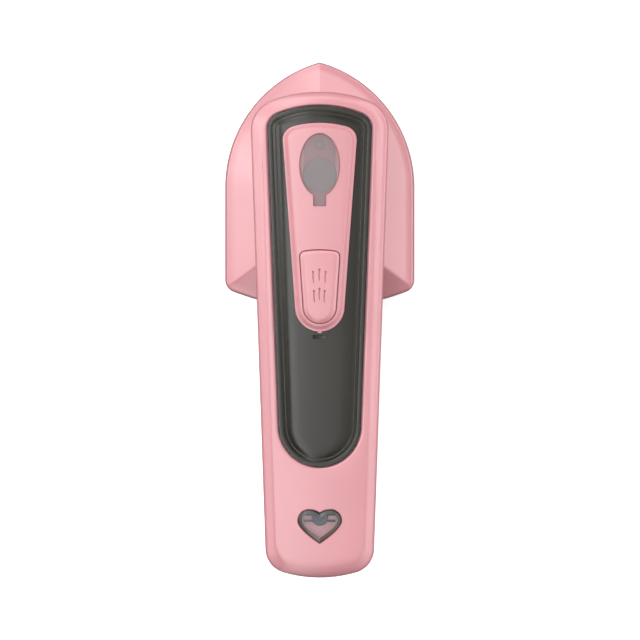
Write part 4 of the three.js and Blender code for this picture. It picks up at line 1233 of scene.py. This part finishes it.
def wavy_tube(name, x, front_y, length, lean, z, radius):
    """A closed tube that runs back from a dot, with a slight wave."""
    rings = []
    for k in range(mark_steps + 1):
        t = k / mark_steps
        y = front_y - length * t
        cx = x + lean * t + 0.07 * mm * math.sin(t * 3 * math.pi)
        dot = math.exp(-((t * length - 0.3 * mm) / (0.35 * mm)) ** 2)
        r = radius * (1 + 0.9 * dot) * (1 - 0.2 * t)
        end = min(1.0, max(0.08, min(k, mark_steps - k) * 0.8))
        angles = np.linspace(0, 2 * math.pi, mark_sides, endpoint=False)
        rings.append(np.column_stack((
            cx + r * end * np.cos(angles), np.full(mark_sides, y), z + r * end * np.sin(angles),
        )))
    faces = wall_faces(len(rings), mark_sides)
    faces.append(tuple(range(mark_sides))[::-1])
    faces.append(tuple(mark_steps * mark_sides + i for i in range(mark_sides)))
    return new_piece(name, np.vstack(rings), faces)


def steam_marks():
    """Two rows of three strokes, the middle one set forward and the outer ones leaning out."""
    rows = [
        (panel_round_y + 11.9 * mm, 2.55 * mm, 0.25 * mm),
        (panel_round_y + 4.3 * mm, 2.15 * mm, 0.2 * mm),
    ]
    length = 5.0 * mm
    marks = []
    for y, spread, lean in rows:
        for side in (-1, 0, 1):
            front = y + (0.9 * mm if side == 0 else 0) + length / 2
            x = side * spread - 0.2 * mm
            z = button_top - crown(x) - 0.05 * mm
            marks.append(wavy_tube("mark", x, front, length, -side * lean, z, 0.3 * mm))
            # the darker pink of the strokes is painted shade in the grooves
            paint(marks[-1], groove_shade_pink)
    return marks


marks = steam_marks()
print("engraved strokes:", len(marks))


# %% Steam button
def steam_button():
    foot = flange_top - 0.8 * mm
    steps = [
        (-0.8 * mm, foot), (-0.8 * mm, flange_top), (0.2 * mm, flange_top),
        (0.2 * mm, button_top - 1.55 * mm), (0.35 * mm, button_top - 1.2 * mm),
        (0.65 * mm, button_top - 0.85 * mm), (1.3 * mm, button_top - 0.35 * mm),
        (1.75 * mm, button_top - 0.1 * mm), (2.1 * mm, button_top - 0.01 * mm), (2.6 * mm, button_top),
    ]
    rings = [section(button_half, inset, z, 0 if k < 3 else 1) for k, (inset, z) in enumerate(steps)]
    pad = loft("steam_pad", rings, columns=14, shares=(0, 1))
    paint(pad, pink)
    carve(pad, *marks)
    stem = lathe("stem", disc_profile(2.4 * mm, button_low.z, foot + 0.2 * mm), 32, (0, switch_y))
    return join(pad, stem)


finished(steam_button(), "steam_button", "pink_shell", None, "steam_button")

# %% [markdown]
# ### The return spring
# A coil round the button's stem. It flattens as the button goes down, by as much as the button
# travels. Riding on one body it would poke through the other; here it rides on the handle and
# has a mesh of its own.

# %% Button spring
spring_low, spring_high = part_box("button_spring")


def coil_spring(wire=0.3 * mm, turns=4, sides=10, steps=28):
    radius = (spring_high.x - spring_low.x) / 2 - wire
    start, stop = spring_low.z + wire, spring_high.z - wire
    around = math.pi / 2 - np.linspace(0, 2 * math.pi, sides, endpoint=False)
    rings = []
    for along in np.linspace(0, 1, turns * steps + 1):
        angle = 2 * math.pi * turns * along
        reach = radius + wire * np.cos(around)
        height = start + (stop - start) * along + wire * np.sin(around)
        rings.append(np.column_stack((reach * math.cos(angle), switch_y + reach * math.sin(angle), height)))
    return loft("return_spring", rings, columns=2)


spring = finished(coil_spring(), "handle", "steel", zinc, "button_spring")
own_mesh(spring)

# %% [markdown]
# ## The filler plug
# A milky silicone flap. Its front end is held by a peg and stays still, and behind a bending
# line the flap lifts with the stopper below it. Two rigid halves would tear apart at that
# line, so the flap is one sheet, which is tied to neither body. The stopper and the
# peg are turned pieces of their own that show through it.

# %% Silicone flap
plug_low, plug_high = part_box("filler_plug")


def silicone_flap():
    top = plug_high.z - 0.35 * mm
    rings = []
    for grow, depth in ((-0.25, 1.2), (0, 1.0), (0, 0.25), (-0.1, 0.05), (-0.3, 0), (-0.9, 0)):
        rings.append(section(flap_half, grow * mm, top - depth * mm, 1))
    return loft("silicone_flap", rings, columns=14, shares=(1, 1))


flap = silicone_flap()
paint(flap, milky)
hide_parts("filler_plug", "filler_plug_anchor")
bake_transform(flap)
print(flap.name, "has", len(flap.data.polygons), "faces")

# %% Stopper and peg
under_flap = plug_high.z - 1.5 * mm
stopper = lathe("stopper", [
    (0, plug_low.z), (3.6 * mm, plug_low.z), (4.2 * mm, plug_low.z + 0.5 * mm),
    (5.0 * mm, plug_high.z - 2.6 * mm), (6.6 * mm, plug_high.z - 1.75 * mm), (6.6 * mm, under_flap),
    (0, under_flap),
], 64, (0, stopper_y))
finished(stopper, "filler_plug", "grey_silicone", plug_core)
peg_low, peg_high = panel_low.z + 0.3 * mm, under_flap
peg = lathe("anchor_peg", [
    (0, peg_low), (1.2 * mm, peg_low), (1.6 * mm, peg_low + 0.3 * mm), (1.3 * mm, peg_low + 0.5 * mm),
    (1.3 * mm, peg_high - 0.6 * mm), (1.9 * mm, peg_high - 0.35 * mm), (1.9 * mm, peg_high - 0.1 * mm),
    (1.75 * mm, peg_high), (0, peg_high),
], 40, (0, peg_y))
finished(peg, "handle", "grey_silicone", plug_core)

# %% [markdown]
# ## The heart-shaped light
# A clear heart with a wide bevel sits in its pocket over a blue-grey light holder. The bevel
# bends light away from the eye, so it looks dark and outlines the heart. Glass that bends
# light would show that by itself but comes out noisy, so faces get a darker colour by how
# far they tilt: painted shade in place of the bent light.

# %% Light holder
def light_holder():
    """A disc over the light with two bars across it, trimmed to the heart."""
    low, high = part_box("led_holder")
    centre_y = handle_low.y + 24.5 * mm
    base, top = low.z, high.z + 0.25 * mm
    middle, depth = (base + top) / 2 - 0.1 * mm, top - base - 0.2 * mm
    parts = [lathe("light_holder", disc_profile(3.3 * mm, base, top), 48, (0, centre_y))]
    for y in (centre_y + 1.15 * mm, centre_y - 1.35 * mm):
        parts.append(block("bar", (0, y, middle), (12.6 * mm, 0.85 * mm, depth), 0.1 * mm))
    for part in parts:
        trim = [section(heart_half, -0.6 * mm, z) for z in (base - 1 * mm, top + 1 * mm)]
        outline = loft("trim", trim, notched=True)
        carve(part, outline, keep=True)
    return join(*parts)


finished(light_holder(), "handle", "led_blue_grey", led_grey, "led_holder")


# %% Heart lens
lens_low, lens_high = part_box("heart_lens")
steepest_rim, gentle_bevel, level_top = 0.05, 0.93, 0.99  # how far a face's normal points up


def heart_lens():
    steps = [
        (-0.35, lens_low.z), (-0.15, handle_top - 0.5 * mm), (-0.2, handle_top - 0.15 * mm),
        (-0.55, lens_high.z - 0.3 * mm), (-1.45, lens_high.z - 0.1 * mm),
        (-1.75, lens_high.z - 0.02 * mm), (-2.1, lens_high.z),
    ]
    rings = [section(heart_half, grow * mm, z, 1 if k else 0) for k, (grow, z) in enumerate(steps)]
    lens = loft("heart_window", rings, columns=10, shares=(0, 1), notched=True)
    paint(lens, clear)
    lens.data.materials.append(lens_bevel_shade)
    lens.data.materials.append(lens_rim_shade)
    # steep and bevelled faces take the painted shade
    for face in lens.data.polygons:
        upward = face.normal.z
        if steepest_rim < upward < level_top:
            face.material_index = 1 if upward > gentle_bevel else 2
    return lens


finished(heart_lens(), "handle", "clear_lens", None, "heart_lens")

# %% [markdown]
# ## The cord gland
# A rubber bush in the tail's end face where the power cord would enter. It is turned upright
# from one profile and then laid along the handle, which is simpler than lathing on its side.

# %% Gland
def cord_gland():
    end_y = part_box("cord_gland")[0].y
    reach = 4.7 * mm
    bore = 3.4 * mm
    profile = [
        (bore + 0.4 * mm, 0.3 * mm), (reach - 0.4 * mm, 0.3 * mm), (reach, 0.7 * mm), (reach, 3.6 * mm),
        (reach + 0.9 * mm, 3.6 * mm), (reach + 0.9 * mm, 4.8 * mm), (reach, 4.8 * mm), (reach, 8 * mm),
        (bore, 8 * mm), (bore, 0.7 * mm),
    ]
    return lay_along_y(lathe("cord_bush", profile, 64), end_y - 0.3 * mm, gland_z)


finished(cord_gland(), "handle", "black_rubber", black_rubber, "cord_gland")

# %% [markdown]
# ## Screws
# Pan-head screws with a cross recess, which show in the recesses of the underside. One
# function makes all four, so each keeps its own place, and the cross is cut by two blocks.
# Threads are left out, because they are inside the bosses.

# %% Shell screws
def cross_screw(name, x, y, z):
    """A pan head seen from below, with its shank above it."""
    radius, height, shank = 2.4 * mm, 1.6 * mm, 1.2 * mm
    long, thin, deep = 2.6 * mm, 0.55 * mm, 1.8 * mm
    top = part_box("shell_screw_" + name)[1].z
    profile = [(0, z)]
    for inset, drop in superellipse(1.2 * mm, 0.9 * mm, steps=6)[::-1]:
        profile.append((radius - inset, z + drop))
    profile += [(radius, z + height), (shank, z + height), (shank, top), (0, top)]
    head = lathe("screw_" + name, profile, 48, (x, y))
    cross = [block("slot", (x, y, z), size) for size in ((long, thin, deep), (thin, long, deep))]
    return carve(head, *cross)


for screw_name, x, y in screw_places:
    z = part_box("shell_screw_" + screw_name)[0].z
    screw = cross_screw(screw_name, x, y, z)
    finished(screw, "handle", "steel", zinc, "shell_screw_" + screw_name)
